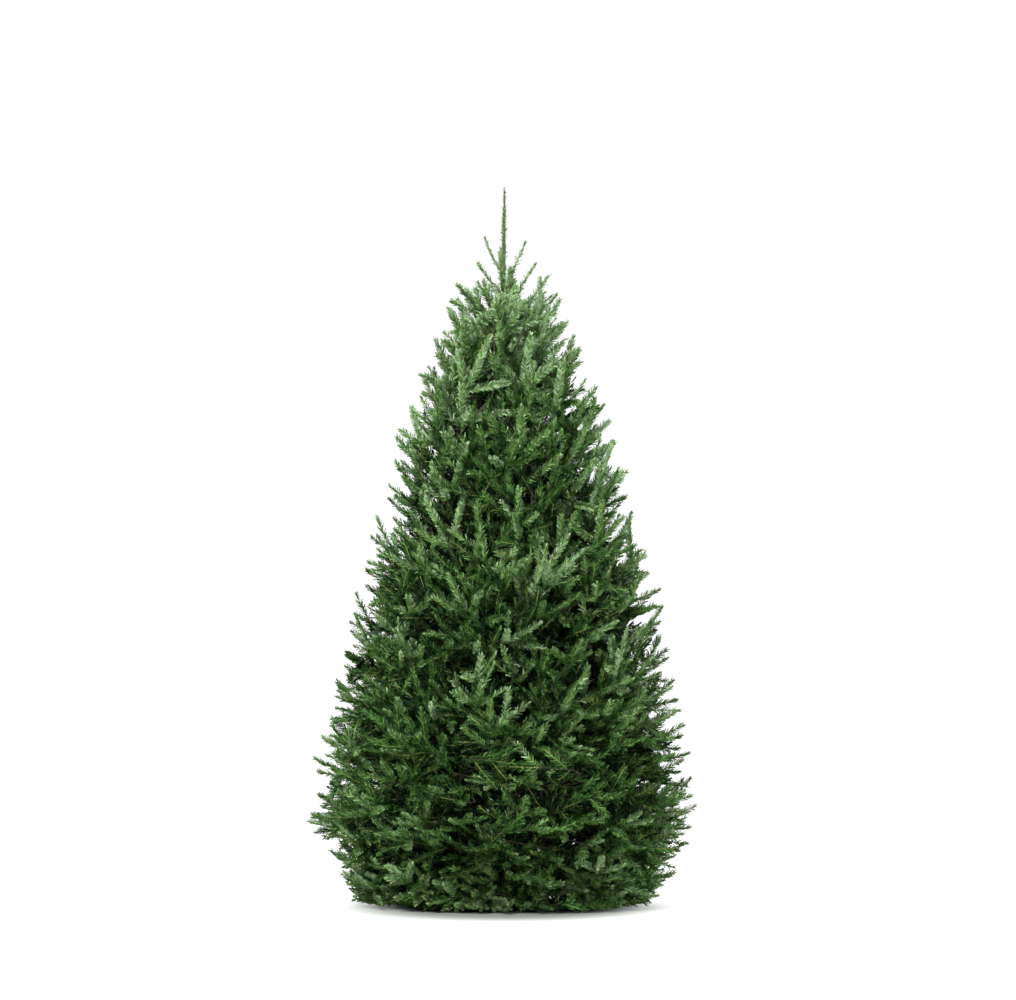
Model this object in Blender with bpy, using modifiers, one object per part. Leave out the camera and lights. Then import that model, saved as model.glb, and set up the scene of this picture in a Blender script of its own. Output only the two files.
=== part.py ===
"""A cut fir tree, sheared to a narrow cone, standing in a plain steel water stand.

Metres, +Z up. The origin is the centre of the stand's underside, on the floor, and -Y is the
front. The trunk rises through the crown. Boughs leave it in tiers, and each bough carries one
mass of foliage: a dense, tufted core that three-pointed sprays of needles stand out of, grown
by a seeded rule. Masses keep to their own spaces, which share the crown out between them.
"""

import math
import random

import bmesh
import bpy
from mathutils import Matrix, Vector
from mathutils.bvhtree import BVHTree

SEED = 11
CLEARANCE = 0.0003          # gap between pieces that touch on the real tree
GOLDEN_ANGLE = math.pi * (3.0 - math.sqrt(5.0))
SEAT_SAMPLES = 180          # points tried round an end that is to rest on another piece

# The whole tree
TREE_HEIGHT = 2.10
CROWN_TOP_Z = 1.99          # where the crown's outline closes on the leader
CROWN_RADIUS = 0.578
CROWN_WIDEST_Z = 0.25
CROWN_CURVE = 0.61          # exponent of the outline above the widest height
CROWN_TUCK = 0.15           # how much narrower the crown is at the floor
CROWN_TUCK_CURVE = 1.2
# Where the crown is fuller on one side: height, azimuth in degrees, amount, half-height
CROWN_SWELLS = (
    (1.10, 0.0, 0.022, 0.40),
    (0.58, 0.0, 0.010, 0.10),
    (0.50, 180.0, 0.020, 0.16),
)
CROWN_FOOT_Z = 0.010        # the lowest sprays stop this far above the floor

# Trunk
TRUNK_FOOT_RADIUS = 0.048
TRUNK_TOP_RADIUS = 0.0075
TRUNK_TOP_Z = 1.765
TRUNK_SWEEP = 0.005         # sideways bow of the stem
TRUNK_POINTS = 12

# Tiers of boughs, lowest first: name, boughs, turn of the first bough in degrees, bough slope,
# inner radius of the foliage
TIERS = (
    ("skirt", 6, -90.0, -0.22, 0.310),
    ("low", 6, -70.0, 0.25, 0.205),
    ("middle", 5, -100.0, 0.50, 0.170),
    ("high", 4, -65.0, 0.80, 0.115),
    ("top", 3, -105.0, 1.20, 0.070),
)
# The face between one tier and the next: radius and height where it meets the outline, and slope
TIER_FACES = (
    (0.50, 0.010, 0.0),
    (0.55, 0.300, 0.20),
    (0.47, 0.700, 0.45),
    (0.39, 1.110, 0.75),
    (0.28, 1.480, 1.10),
    (0.12, 1.830, 1.50),
)
ROOT_STAGGER = 0.012                # boughs of one tier leave the trunk a little apart
SKIRT_BOUGH_END_Z = 0.150

# Boughs
BOUGH_ROOT_RADIUS = 0.013           # on the lowest tier, at the trunk
BOUGH_THINNING = 0.0016             # each tier's boughs are this much thinner
BOUGH_TAPER = 0.62
BOUGH_POINTS = 3
BOUGH_SAG = 0.008
COLLAR = 0.006                      # length of level wood at the bough's root

# Foliage masses
SPRAY_ROWS = 3
SPRAY_COLUMNS = (5, 5, 5, 5, 4)     # for each tier; the middle row has one fewer
SPRAY_SHORTEST = 0.135
SPRAY_LONGEST = 0.215
SPRAY_WIDTH = 0.130
SPRAY_THICKNESS = 0.014
ROOT_DEPTH = 0.030                  # how far under the core's skin a spray starts
TIP_INSIDE = 0.96                   # sprays reach between this share of the outline and all of it
DEAL_JITTER = 0.12                  # how unevenly sprays are dealt out over the mass
HEADING_SPREAD = 0.80               # how far a spray may turn aside from straight outwards
ELEVATION_SPREAD = 0.30
ROLL_SPREAD = 0.80
SPACE_MARGIN = 0.003                # a spray keeps this far inside its mass's space
CORE_DEPTH = 0.098                  # the core stops this far inside the outline
TUFT_DEPTH = 0.040                  # and the tufts on it this far
TUFT_RISE = 0.045
GRID_JITTER = 0.07                  # how unevenly the tufts are dealt out over the core
CORE_ROUGHNESS = 0.016              # its skin rises and falls by this much
CORE_FILL = 0.97                    # share of the space's width and height that the core fills
CORE_CLEAR = 0.014                  # room between a bough's end and the core it points at
TWIG_RADIUS = 0.0045
TWIG_LAP = 0.012                    # how far a twig runs on into its spray
SPRAY_TRIES = 7
DRAW_IN = 0.05                      # share by which a spray that doesn't fit is drawn in
TURN_IN = 0.25                      # and turned in, at each try
HEART_DEPTH = 0.55                  # where in the mass its stem ends
FORK_FROM = 0.6                     # twigs leave the stem between this share of it and its end
STEM_ELBOW = 0.018                  # the stem runs this far on along its bough before it turns

# Leader, the last year's upright shoot, and the whorl of shoots at its foot
LEADER_FOOT_RADIUS = 0.0070
LEADER_TIP_RADIUS = 0.0022
LEADER_NEEDLES = 22
NEEDLE_LENGTH = 0.020
NEEDLE_RADIUS = 0.0022
NEEDLE_POINT = 0.25                 # a needle's tip radius as a share of its foot's
NEEDLE_RISE = 1.0                   # radians above level
NEEDLED_PART = (0.30, 0.93)         # the shares of the leader between which needles stand
WHORL_SHOOTS = 8
WHORL_LOW_Z = 1.845                 # height of the lowest and the highest shoot's tip
WHORL_HIGH_Z = 1.957
WHORL_RISE = 0.065                  # how far up the leader the highest shoot starts
WHORL_WIDTH = 0.045
WHORL_JITTER = 0.10

# Stand
BASIN_FOOT_RADIUS = 0.086
BASIN_RIM_RADIUS = 0.100
BASIN_HEIGHT = 0.150
BASIN_WALL = 0.003
BASIN_FLOOR = 0.005
BASIN_STEPS = 24
RIM_BEAD = 0.005
LEGS = 4
LEG_REACH = 0.275
LEG_WIDTH = 0.032
LEG_THICKNESS = 0.005
LEG_TOP_Z = 0.108
LEG_FLANGE = 0.045
LEG_CLEARANCE = 0.0004
FOOT_LENGTH = 0.050
SCREW_Z = 0.128
SCREW_RADIUS = 0.0045
SCREW_KNOB_RADIUS = 0.013
SCREW_KNOB_LENGTH = 0.012
SCREW_PROUD = 0.034                 # how far the screw's shaft stands out of the basin
SCREW_STEPS = 8

MATERIALS = {
    "bark": ((0.155, 0.118, 0.090), 0.90, 0.0),
    "twig_bark": ((0.190, 0.135, 0.085), 0.85, 0.0),
    "needles": ((0.055, 0.135, 0.045), 0.55, 0.0),
    "stand_paint": ((0.018, 0.040, 0.026), 0.42, 0.0),
    "screw_steel": ((0.420, 0.420, 0.410), 0.38, 1.0),
}


# ---------------------------------------------------------------- scene helpers

def clear_scene():
    for obj in list(bpy.data.objects):
        bpy.data.objects.remove(obj, do_unlink=True)


def new_collection(name):
    collection = bpy.data.collections.new(name)
    bpy.context.scene.collection.children.link(collection)
    return collection


def material(name):
    """The Principled material of this name, made on first use."""
    found = bpy.data.materials.get(name)
    if found:
        return found
    colour, roughness, metallic = MATERIALS[name]
    made = bpy.data.materials.new(name)
    made.use_nodes = True
    shader = made.node_tree.nodes["Principled BSDF"]
    shader.inputs["Base Color"].default_value = (*colour, 1.0)
    shader.inputs["Roughness"].default_value = roughness
    shader.inputs["Metallic"].default_value = metallic
    return made


def mesh_object(name, bm, collection, finish=None):
    """Turns a bmesh into an object in a collection."""
    bm.normal_update()
    bmesh.ops.recalc_face_normals(bm, faces=bm.faces)
    mesh = bpy.data.meshes.new(name)
    bm.to_mesh(mesh)
    bm.free()
    obj = bpy.data.objects.new(name, mesh)
    collection.objects.link(obj)
    if finish:
        mesh.materials.append(material(finish))
    return obj


def tapered_tube(name, points, radii, sides_setting, finish, collection):
    """A curve object through the points, whose radius changes from point to point."""
    curve = bpy.data.curves.new(name, "CURVE")
    curve.dimensions = "3D"
    curve.bevel_depth = 1.0
    curve.bevel_resolution = sides_setting
    curve.use_fill_caps = True
    spline = curve.splines.new("POLY")
    spline.points.add(len(points) - 1)
    for spline_point, place, radius in zip(spline.points, points, radii):
        spline_point.co = (*place, 1.0)
        spline_point.radius = radius
    curve.materials.append(material(finish))
    obj = bpy.data.objects.new(name, curve)
    collection.objects.link(obj)
    return obj


def surface_of(obj):
    """A search tree over the object's evaluated mesh."""
    bpy.context.view_layer.update()
    graph = bpy.context.evaluated_depsgraph_get()
    return BVHTree.FromObject(obj, graph)


def seat(surface, axis, outward, radius):
    """How far along outward from axis a level round end of this radius rests on the surface."""
    across = outward.cross(Vector((0.0, 0.0, 1.0)))
    furthest = 0.0
    for i in range(SEAT_SAMPLES):
        turn = 2.0 * math.pi * i / SEAT_SAMPLES
        rim = across * math.cos(turn) + Vector((0.0, 0.0, math.sin(turn)))
        hit = surface.ray_cast(axis + rim * radius + outward, -outward)[0]
        if hit:
            furthest = max(furthest, (hit - axis).dot(outward))
    return furthest + CLEARANCE


def largest_island(bm):
    """Drops loose scraps and the walls of sealed hollows, so that one closed body stays."""
    unseen = set(bm.faces)
    islands = []
    while unseen:
        island = [unseen.pop()]
        for face in island:
            for edge in face.edges:
                for other in edge.link_faces:
                    if other in unseen:
                        unseen.discard(other)
                        island.append(other)
        islands.append(island)
    islands.sort(key=len, reverse=True)
    scraps = [face for island in islands[1:] for face in island]
    bmesh.ops.delete(bm, geom=scraps, context="FACES")


def fuse(name, pieces, collection, finish):
    """One Boolean union of the pieces' collection, applied, with the pieces then removed."""
    base = pieces.objects[0]
    pieces.objects.unlink(base)
    collection.objects.link(base)
    union = base.modifiers.new("fuse", "BOOLEAN")
    union.operation = "UNION"
    union.operand_type = "COLLECTION"
    union.collection = pieces
    union.solver = "MANIFOLD"
    bpy.context.view_layer.update()
    graph = bpy.context.evaluated_depsgraph_get()
    fused = bpy.data.meshes.new_from_object(base.evaluated_get(graph))
    bm = bmesh.new()
    bm.from_mesh(fused)
    largest_island(bm)
    for obj in [base, *pieces.objects]:
        bpy.data.objects.remove(obj, do_unlink=True)
    bpy.data.collections.remove(pieces)
    bpy.data.meshes.remove(fused)
    return mesh_object(name, bm, collection, finish)


# ---------------------------------------------------------------- places on the tree

def mix(low, high, share):
    return low + (high - low) * share


def cylindrical(radius, azimuth, z):
    return Vector((radius * math.cos(azimuth), radius * math.sin(azimuth), z))


def crown_radius(z, azimuth):
    """Outline of the crown: a cone with swelling sides, tucked in towards the floor."""
    if z >= CROWN_WIDEST_Z:
        down = max(0.0, CROWN_TOP_Z - z) / (CROWN_TOP_Z - CROWN_WIDEST_Z)
        radius = CROWN_RADIUS * down ** CROWN_CURVE
    else:
        below = (CROWN_WIDEST_Z - max(z, 0.0)) / CROWN_WIDEST_Z
        radius = CROWN_RADIUS - CROWN_TUCK * below ** CROWN_TUCK_CURVE
    for height, side, amount, reach in CROWN_SWELLS:
        facing = max(0.0, math.cos(azimuth - math.radians(side)))
        radius += amount * facing * math.exp(-((z - height) / reach) ** 2)
    return radius


def shoot_elevation(z):
    """Angle above level at which shoots point: drooping at the floor, steep near the top."""
    share = min(1.0, max(0.0, z / CROWN_TOP_Z))
    return math.radians(-32.0 + 100.0 * share ** 0.55)


def trunk_radius(z):
    share = z / TRUNK_TOP_Z
    return mix(TRUNK_FOOT_RADIUS, TRUNK_TOP_RADIUS, share ** 0.92)


def trunk_axis(z):
    """Centre of the trunk: plumb in the stand, then a slight bow to one side and back."""
    rise = max(0.0, z - BASIN_HEIGHT) / (TREE_HEIGHT - BASIN_HEIGHT)
    bow = TRUNK_SWEEP * math.sin(2.0 * math.pi * rise)
    return Vector((bow, -0.5 * bow, z))


def face_height(index, radius):
    """Height at this radius of the face under tier number index."""
    at_radius, at_height, slope = TIER_FACES[index]
    return at_height + slope * (radius - at_radius)


def tier_azimuth(tier, number):
    _, count, turn, _, _ = TIERS[tier]
    return math.radians(turn) + number * 2.0 * math.pi / count


def place_in_tier(tier, azimuth, depth, height, inset=0.0):
    """The point at shares depth (0 inner, 1 outline) and height (0 lower face, 1 upper)."""
    inner = TIERS[tier][4]
    radius = inner
    z = 0.0
    for _ in range(12):
        z = mix(face_height(tier, radius), face_height(tier + 1, radius), height)
        radius = mix(radius, mix(inner, crown_radius(z, azimuth) - inset, depth), 0.6)
    return cylindrical(radius, azimuth, z)


def in_tier_space(tier, middle, point):
    """Whether a point keeps to the space of the mass whose middle azimuth is given."""
    radius = math.hypot(point.x, point.y)
    off = abs(math.remainder(math.atan2(point.y, point.x) - middle, 2.0 * math.pi))
    room = math.pi / TIERS[tier][1] - off
    if room <= 0.0 or radius * math.sin(min(room, math.pi / 2)) < SPACE_MARGIN:
        return False
    if point.z < max(face_height(tier, radius) + SPACE_MARGIN, CROWN_FOOT_Z):
        return False
    if point.z > face_height(tier + 1, radius) - SPACE_MARGIN:
        return False
    return radius > TIERS[tier][4]


# ---------------------------------------------------------------- trunk and boughs

def make_trunk(collection):
    """Tapers from the flat cut in the basin to where the leader goes on."""
    foot_z = BASIN_FLOOR + CLEARANCE
    heights = [mix(foot_z, TRUNK_TOP_Z, i / (TRUNK_POINTS - 1)) for i in range(TRUNK_POINTS)]
    points = [trunk_axis(z) for z in heights]
    radii = [trunk_radius(z) for z in heights]
    return tapered_tube("trunk", points, radii, 4, "bark", collection)


def bough_end(tier, azimuth):
    """Where a bough stops and its mass's stem goes on."""
    inner = TIERS[tier][4]
    low, high = face_height(tier, inner), face_height(tier + 1, inner)
    z = SKIRT_BOUGH_END_Z if tier == 0 else mix(low, high, 0.5)
    chord = inner * math.cos(math.pi / TIERS[tier][1] / 2)
    return cylindrical(chord - CORE_CLEAR, azimuth, z)


def bough_radii(tier):
    root = BOUGH_ROOT_RADIUS - BOUGH_THINNING * tier
    return root, root * BOUGH_TAPER


def make_bough(tier, number, trunk_surface, collection):
    """One tapering limb from the trunk's bark to its mass. Returns its end and direction."""
    name, _, _, slope, inner = TIERS[tier]
    azimuth = tier_azimuth(tier, number)
    end = bough_end(tier, azimuth)
    root_radius, tip_radius = bough_radii(tier)
    stagger = ROOT_STAGGER * (-1) ** number
    root_z = end.z - slope * (inner - trunk_radius(end.z)) + stagger
    outward = cylindrical(1.0, azimuth, 0.0)
    axis = trunk_axis(root_z)
    root = axis + outward * seat(trunk_surface, axis, outward, root_radius)
    start = root + outward * COLLAR
    points = [root, start]
    for i in range(1, BOUGH_POINTS):
        share = i / (BOUGH_POINTS - 1)
        place = start.lerp(end, share)
        place.z -= BOUGH_SAG * math.sin(math.pi * share)
        points.append(place)
    radii = [root_radius] + [
        mix(root_radius, tip_radius, i / (BOUGH_POINTS - 1)) for i in range(BOUGH_POINTS)
    ]
    obj = tapered_tube(f"bough_{name}_{number + 1}", points, radii, 1, "twig_bark", collection)
    return obj, points[-1], (points[-1] - points[-2]).normalized()


# ---------------------------------------------------------------- foliage

# Half of a spray's rim from its foot, as shares of its length and half width: tooth, notch
SPRAY_TEETH = ((0.62, 1.0), (0.50, 0.22))
SPRAY_RIDGE = 0.36          # where along the spray it is thickest


def spray_rim(length, width):
    """The rim of a three-pointed blade of needles: foot, side tooth, notch, tip and back."""
    left = [Vector((x * length, y * width / 2, 0.0)) for x, y in SPRAY_TEETH]
    right = [Vector((p.x, -p.y, 0.0)) for p in reversed(left)]
    return [Vector(), *left, Vector((length, 0.0, 0.0)), *right]


def make_spray(matrix, length, width, pieces):
    """A three-pointed blade of needles, ridged along its middle above and below."""
    bm = bmesh.new()
    rim = [bm.verts.new(p) for p in spray_rim(length, width)]
    for side in (1.0, -1.0):
        ridge = bm.verts.new((SPRAY_RIDGE * length, 0.0, side * SPRAY_THICKNESS / 2))
        for a, b in zip(rim, [*rim[1:], rim[0]]):
            bm.faces.new((ridge, a, b))
    bm.transform(matrix)
    return mesh_object("spray", bm, pieces)


def make_twig(name, start, end, radius, sides, pieces, tip_share=0.6):
    """A tapering twig with three or more sides."""
    along = end - start
    bm = bmesh.new()
    bmesh.ops.create_cone(
        bm, cap_ends=True, segments=sides, radius1=radius, radius2=radius * tip_share,
        depth=along.length,
    )
    turn = along.to_track_quat("Z", "Y").to_matrix().to_4x4()
    bm.transform(Matrix.Translation((start + end) / 2) @ turn)
    return mesh_object(name, bm, pieces)


def make_core(tier, middle, draw, pieces):
    """The dense middle of a mass: a rough wedge inside its space, with tufts on its outside."""
    half_angle = math.pi / TIERS[tier][1]
    bm = bmesh.new()
    bmesh.ops.create_cube(bm, size=2.0)
    bmesh.ops.subdivide_edges(bm, edges=bm.edges, cuts=2, use_grid_fill=True)
    bm.normal_update()
    outside = [face for face in bm.faces if face.normal.x > 0.5]
    tufts = set(bmesh.ops.poke(bm, faces=outside)["verts"])
    for vert in bm.verts:
        depth, side, height = (0.5 + 0.5 * c for c in vert.co)
        side += draw.uniform(-GRID_JITTER, GRID_JITTER) * (0.0 < side < 1.0)
        height += draw.uniform(-GRID_JITTER, GRID_JITTER) * (0.0 < height < 1.0)
        azimuth = middle + (2.0 * side - 1.0) * half_angle * CORE_FILL
        share = 0.5 + (height - 0.5) * CORE_FILL
        inset = TUFT_DEPTH if vert in tufts else CORE_DEPTH
        inset += draw.uniform(-CORE_ROUGHNESS, CORE_ROUGHNESS)
        vert.co = place_in_tier(tier, azimuth, depth, share, inset)
        if vert in tufts:
            vert.co.z += TUFT_RISE * math.sin(shoot_elevation(vert.co.z))
    bmesh.ops.triangulate(bm, faces=bm.faces)
    return mesh_object("core", bm, pieces)


def spray_frame(base, direction, roll=0.0):
    """Local X along the spray, local Z as near up as it can be before it is rolled."""
    side = Vector((0.0, 0.0, 1.0)).cross(direction).normalized()
    up = direction.cross(side)
    turn = Matrix((direction, side, up)).transposed().to_4x4()
    return Matrix.Translation(base) @ turn @ Matrix.Rotation(roll, 4, "X")


def spray_samples(matrix, length, width):
    """Points on a spray's rim and ridge, to test against its mass's space."""
    rim = spray_rim(length, width)
    halfway = [(a + b) / 2 for a, b in zip(rim, rim[1:])]
    rise = Vector((0.0, 0.0, SPRAY_THICKNESS / 2))
    middle = Vector((SPRAY_RIDGE * length, 0.0, 0.0))
    ridge = [middle + rise, middle - rise]
    return [matrix @ p for p in [*rim, *halfway, *ridge]]


def spread(draw, most):
    return draw.uniform(-most, most)


def fit_spray(tier, middle, azimuth, height, heart, draw):
    """Where a spray stands whose tip is near the outline, or None if it can't keep its space."""
    outward = cylindrical(1.0, azimuth, 0.0)
    tip = place_in_tier(tier, azimuth, draw.uniform(TIP_INSIDE, 1.0), height)
    elevation = shoot_elevation(tip.z) + spread(draw, ELEVATION_SPREAD)
    heading = azimuth + spread(draw, HEADING_SPREAD)
    direction = cylindrical(math.cos(elevation), heading, math.sin(elevation))
    roll = spread(draw, ROLL_SPREAD)
    length = (CORE_DEPTH + ROOT_DEPTH) / max(0.5, direction.dot(outward))
    length = min(SPRAY_LONGEST, max(SPRAY_SHORTEST, length))
    for _ in range(SPRAY_TRIES):
        frame = spray_frame(tip - direction * length, direction, roll)
        samples = spray_samples(frame, length, SPRAY_WIDTH)
        if all(in_tier_space(tier, middle, point) for point in samples):
            return frame, length
        tip = tip.lerp(heart, DRAW_IN)
        direction = direction.lerp((tip - heart).normalized(), TURN_IN).normalized()
    return None


def make_mass(tier, number, stem_start, stem_direction, draw, collection):
    """One mass: stem, twigs and sprays round a core, fused into one body."""
    name, count = TIERS[tier][:2]
    middle = tier_azimuth(tier, number)
    half_angle = math.pi / count
    pieces = bpy.data.collections.new("pieces")
    bpy.context.scene.collection.children.link(pieces)
    make_core(tier, middle, draw, pieces)
    stem_radius = bough_radii(tier)[1]
    foot = stem_start + stem_direction * CLEARANCE
    heart = place_in_tier(tier, middle, HEART_DEPTH, 0.5, CORE_DEPTH)
    elbow = foot + stem_direction * STEM_ELBOW
    make_twig("stub", foot, elbow, stem_radius, 6, pieces, 1.0)
    make_twig("stem", foot.lerp(elbow, 0.7), heart, stem_radius, 6, pieces)
    for row in range(SPRAY_ROWS):
        columns = SPRAY_COLUMNS[tier] - row % 2
        for column in range(columns):
            across = (column + 0.5) / columns * 2.0 - 1.0 + spread(draw, DEAL_JITTER)
            height = (row + 0.5) / SPRAY_ROWS + spread(draw, DEAL_JITTER)
            azimuth = middle + across * half_angle
            found = fit_spray(tier, middle, azimuth, height, heart, draw)
            if found is None:
                continue
            frame, length = found
            make_spray(frame, length, SPRAY_WIDTH, pieces)
            fork = foot.lerp(heart, draw.uniform(FORK_FROM, 1.0))
            lap = frame @ Vector((TWIG_LAP, 0.0, 0.0))
            make_twig("twig", fork, lap, TWIG_RADIUS, 3, pieces)
    return fuse(f"foliage_{name}_{number + 1}", pieces, collection, "needles")


def make_leader(draw, collection):
    """The upright leader with its needles and the whorl of shoots at its foot."""
    pieces = bpy.data.collections.new("pieces")
    bpy.context.scene.collection.children.link(pieces)
    foot = trunk_axis(TRUNK_TOP_Z) + Vector((0.0, 0.0, CLEARANCE))
    tip = trunk_axis(TREE_HEIGHT)
    taper = LEADER_TIP_RADIUS / LEADER_FOOT_RADIUS
    make_twig("stem", foot, tip, LEADER_FOOT_RADIUS, 6, pieces, taper)
    for i in range(WHORL_SHOOTS):
        share = i / (WHORL_SHOOTS - 1)
        tip_z = mix(WHORL_LOW_Z, WHORL_HIGH_Z, share)
        azimuth = i * GOLDEN_ANGLE + spread(draw, WHORL_JITTER)
        shoot_tip = cylindrical(crown_radius(tip_z, azimuth), azimuth, tip_z)
        start = foot + Vector((0.0, 0.0, WHORL_WIDTH / 2 + WHORL_RISE * share))
        direction = (shoot_tip - start).normalized()
        length = (shoot_tip - start).length
        make_spray(spray_frame(start, direction), length, WHORL_WIDTH, pieces)
    for i in range(LEADER_NEEDLES):
        share = mix(*NEEDLED_PART, i / (LEADER_NEEDLES - 1))
        azimuth = i * GOLDEN_ANGLE
        start = foot.lerp(tip, share)
        direction = cylindrical(math.cos(NEEDLE_RISE), azimuth, math.sin(NEEDLE_RISE))
        end = start + direction * NEEDLE_LENGTH
        make_twig("needle", start, end, NEEDLE_RADIUS, 3, pieces, NEEDLE_POINT)
    return fuse("foliage_leader", pieces, collection, "needles")


# ---------------------------------------------------------------- stand

def turned(name, profile, steps, finish, collection):
    """A profile in the XZ plane, from the axis inside, up, over and down its outer side."""
    bm = bmesh.new()
    verts = [bm.verts.new((radius, 0.0, z)) for radius, z in profile]
    for a, b in zip(verts, verts[1:]):
        bm.edges.new((a, b))
    mesh = bpy.data.meshes.new(name)
    bm.to_mesh(mesh)
    bm.free()
    mesh.materials.append(material(finish))
    obj = bpy.data.objects.new(name, mesh)
    collection.objects.link(obj)
    screw = obj.modifiers.new("turn", "SCREW")
    screw.steps = steps
    screw.render_steps = steps
    screw.use_merge_vertices = True
    screw.merge_threshold = 0.0001
    return obj


def screw_azimuth(number):
    return math.radians(45.0) + number * 2.0 * math.pi / LEGS


def basin_outer_radius(z):
    return mix(BASIN_FOOT_RADIUS, BASIN_RIM_RADIUS, z / BASIN_HEIGHT)


def make_basin(collection, cutters):
    """The water basin: a tapering steel cup with a beaded rim, drilled for the screws."""
    slope = (BASIN_RIM_RADIUS - BASIN_FOOT_RADIUS) / BASIN_HEIGHT
    inner_foot = BASIN_FOOT_RADIUS - BASIN_WALL + slope * BASIN_FLOOR
    profile = (
        (0.0, BASIN_FLOOR),
        (inner_foot, BASIN_FLOOR),
        (BASIN_RIM_RADIUS - BASIN_WALL, BASIN_HEIGHT),
        (BASIN_RIM_RADIUS + RIM_BEAD, BASIN_HEIGHT),
        (BASIN_RIM_RADIUS + RIM_BEAD, BASIN_HEIGHT - RIM_BEAD),
        (BASIN_RIM_RADIUS - slope * RIM_BEAD, BASIN_HEIGHT - RIM_BEAD),
        (BASIN_FOOT_RADIUS, 0.0),
        (0.0, 0.0),
    )
    basin = turned("stand_basin", profile, BASIN_STEPS, "stand_paint", collection)
    for number in range(LEGS):
        bm = bmesh.new()
        bmesh.ops.create_cone(
            bm, cap_ends=True, segments=SCREW_STEPS, depth=4 * SCREW_PROUD,
            radius1=SCREW_RADIUS + CLEARANCE, radius2=SCREW_RADIUS + CLEARANCE,
        )
        outward = cylindrical(1.0, screw_azimuth(number), 0.0)
        place = outward * BASIN_RIM_RADIUS + Vector((0.0, 0.0, SCREW_Z))
        turn = outward.to_track_quat("Z", "Y").to_matrix().to_4x4()
        bm.transform(Matrix.Translation(place) @ turn)
        cutter = mesh_object(f"cut_screw_{number + 1}", bm, cutters)
        cutter.hide_render = True
        cutter.display_type = "WIRE"
        cut = basin.modifiers.new(f"screw_hole_{number + 1}", "BOOLEAN")
        cut.operation = "DIFFERENCE"
        cut.object = cutter
    return basin


def make_leg(number, collection):
    """A bent flat steel strap: a flange on the basin, a sloping shank and a foot."""
    top_in = basin_outer_radius(LEG_TOP_Z) + LEG_CLEARANCE
    bend_z = LEG_TOP_Z - LEG_FLANGE
    bend_in = basin_outer_radius(bend_z) + LEG_CLEARANCE
    heel = LEG_REACH - FOOT_LENGTH
    slope = math.atan2(bend_z, heel - bend_in)
    bend_rise = LEG_THICKNESS * math.tan(slope) * 0.5
    heel_run = LEG_THICKNESS * math.tan(slope / 2)
    outline = (
        (bend_in, bend_z),
        (heel, 0.0),
        (LEG_REACH, 0.0),
        (LEG_REACH, LEG_THICKNESS),
        (heel + heel_run, LEG_THICKNESS),
        (bend_in + LEG_THICKNESS, bend_z + bend_rise),
        (top_in + LEG_THICKNESS, LEG_TOP_Z),
        (top_in, LEG_TOP_Z),
    )
    curve = bpy.data.curves.new(f"stand_leg_{number + 1}", "CURVE")
    curve.dimensions = "2D"
    curve.fill_mode = "BOTH"
    curve.extrude = LEG_WIDTH / 2
    spline = curve.splines.new("POLY")
    spline.points.add(len(outline) - 1)
    for point, (radius, z) in zip(spline.points, outline):
        point.co = (radius, z, 0.0, 1.0)
    spline.use_cyclic_u = True
    curve.materials.append(material("stand_paint"))
    leg = bpy.data.objects.new(f"stand_leg_{number + 1}", curve)
    collection.objects.link(leg)
    leg.rotation_euler = (math.pi / 2, 0.0, number * 2.0 * math.pi / LEGS)
    return leg


def make_screw(number, trunk_surface, collection):
    """A clamping screw: its point bears on the trunk and its knob is outside the basin."""
    azimuth = screw_azimuth(number)
    outward = cylindrical(1.0, azimuth, 0.0)
    point = seat(trunk_surface, Vector((0.0, 0.0, SCREW_Z)), outward, SCREW_RADIUS * 0.6)
    knob = basin_outer_radius(SCREW_Z) + SCREW_PROUD
    profile = (
        (0.0, knob + SCREW_KNOB_LENGTH),
        (SCREW_KNOB_RADIUS, knob + SCREW_KNOB_LENGTH),
        (SCREW_KNOB_RADIUS, knob),
        (SCREW_RADIUS, knob),
        (SCREW_RADIUS, point + SCREW_RADIUS),
        (SCREW_RADIUS * 0.6, point),
        (0.0, point),
    )
    obj = turned(f"stand_screw_{number + 1}", profile, SCREW_STEPS, "screw_steel", collection)
    obj.rotation_euler = outward.to_track_quat("Z", "Y").to_euler()
    obj.location = (0.0, 0.0, SCREW_Z)
    return obj


# ---------------------------------------------------------------- assembly

def main():
    clear_scene()
    tree = new_collection("cut_fir_tree")
    cutters = new_collection("cutters")
    draw = random.Random(SEED)
    trunk_surface = surface_of(make_trunk(tree))
    for tier, (_, count, *_) in enumerate(TIERS):
        for number in range(count):
            _, end, direction = make_bough(tier, number, trunk_surface, tree)
            make_mass(tier, number, end, direction, draw, tree)
    make_leader(draw, tree)
    make_basin(tree, cutters)
    for number in range(LEGS):
        make_leg(number, tree)
        make_screw(number, trunk_surface, tree)


main()
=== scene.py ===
"""The looks of a cut fir tree in a plain water stand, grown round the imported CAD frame.

The crown is grown again by the part's own rule: the same tiers of boughs, the same spaces and
the same outline. Here each bough goes on into branches and twigs, each twig ends in a fan of
shoots, and each shoot carries its needles, with a bud at its tip except deep inside.
"""

import random
from math import atan2, cos, exp, hypot, pi, radians, sin, sqrt

import bmesh
import bpy
import numpy as np
from mathutils import Matrix, Vector, noise

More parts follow.
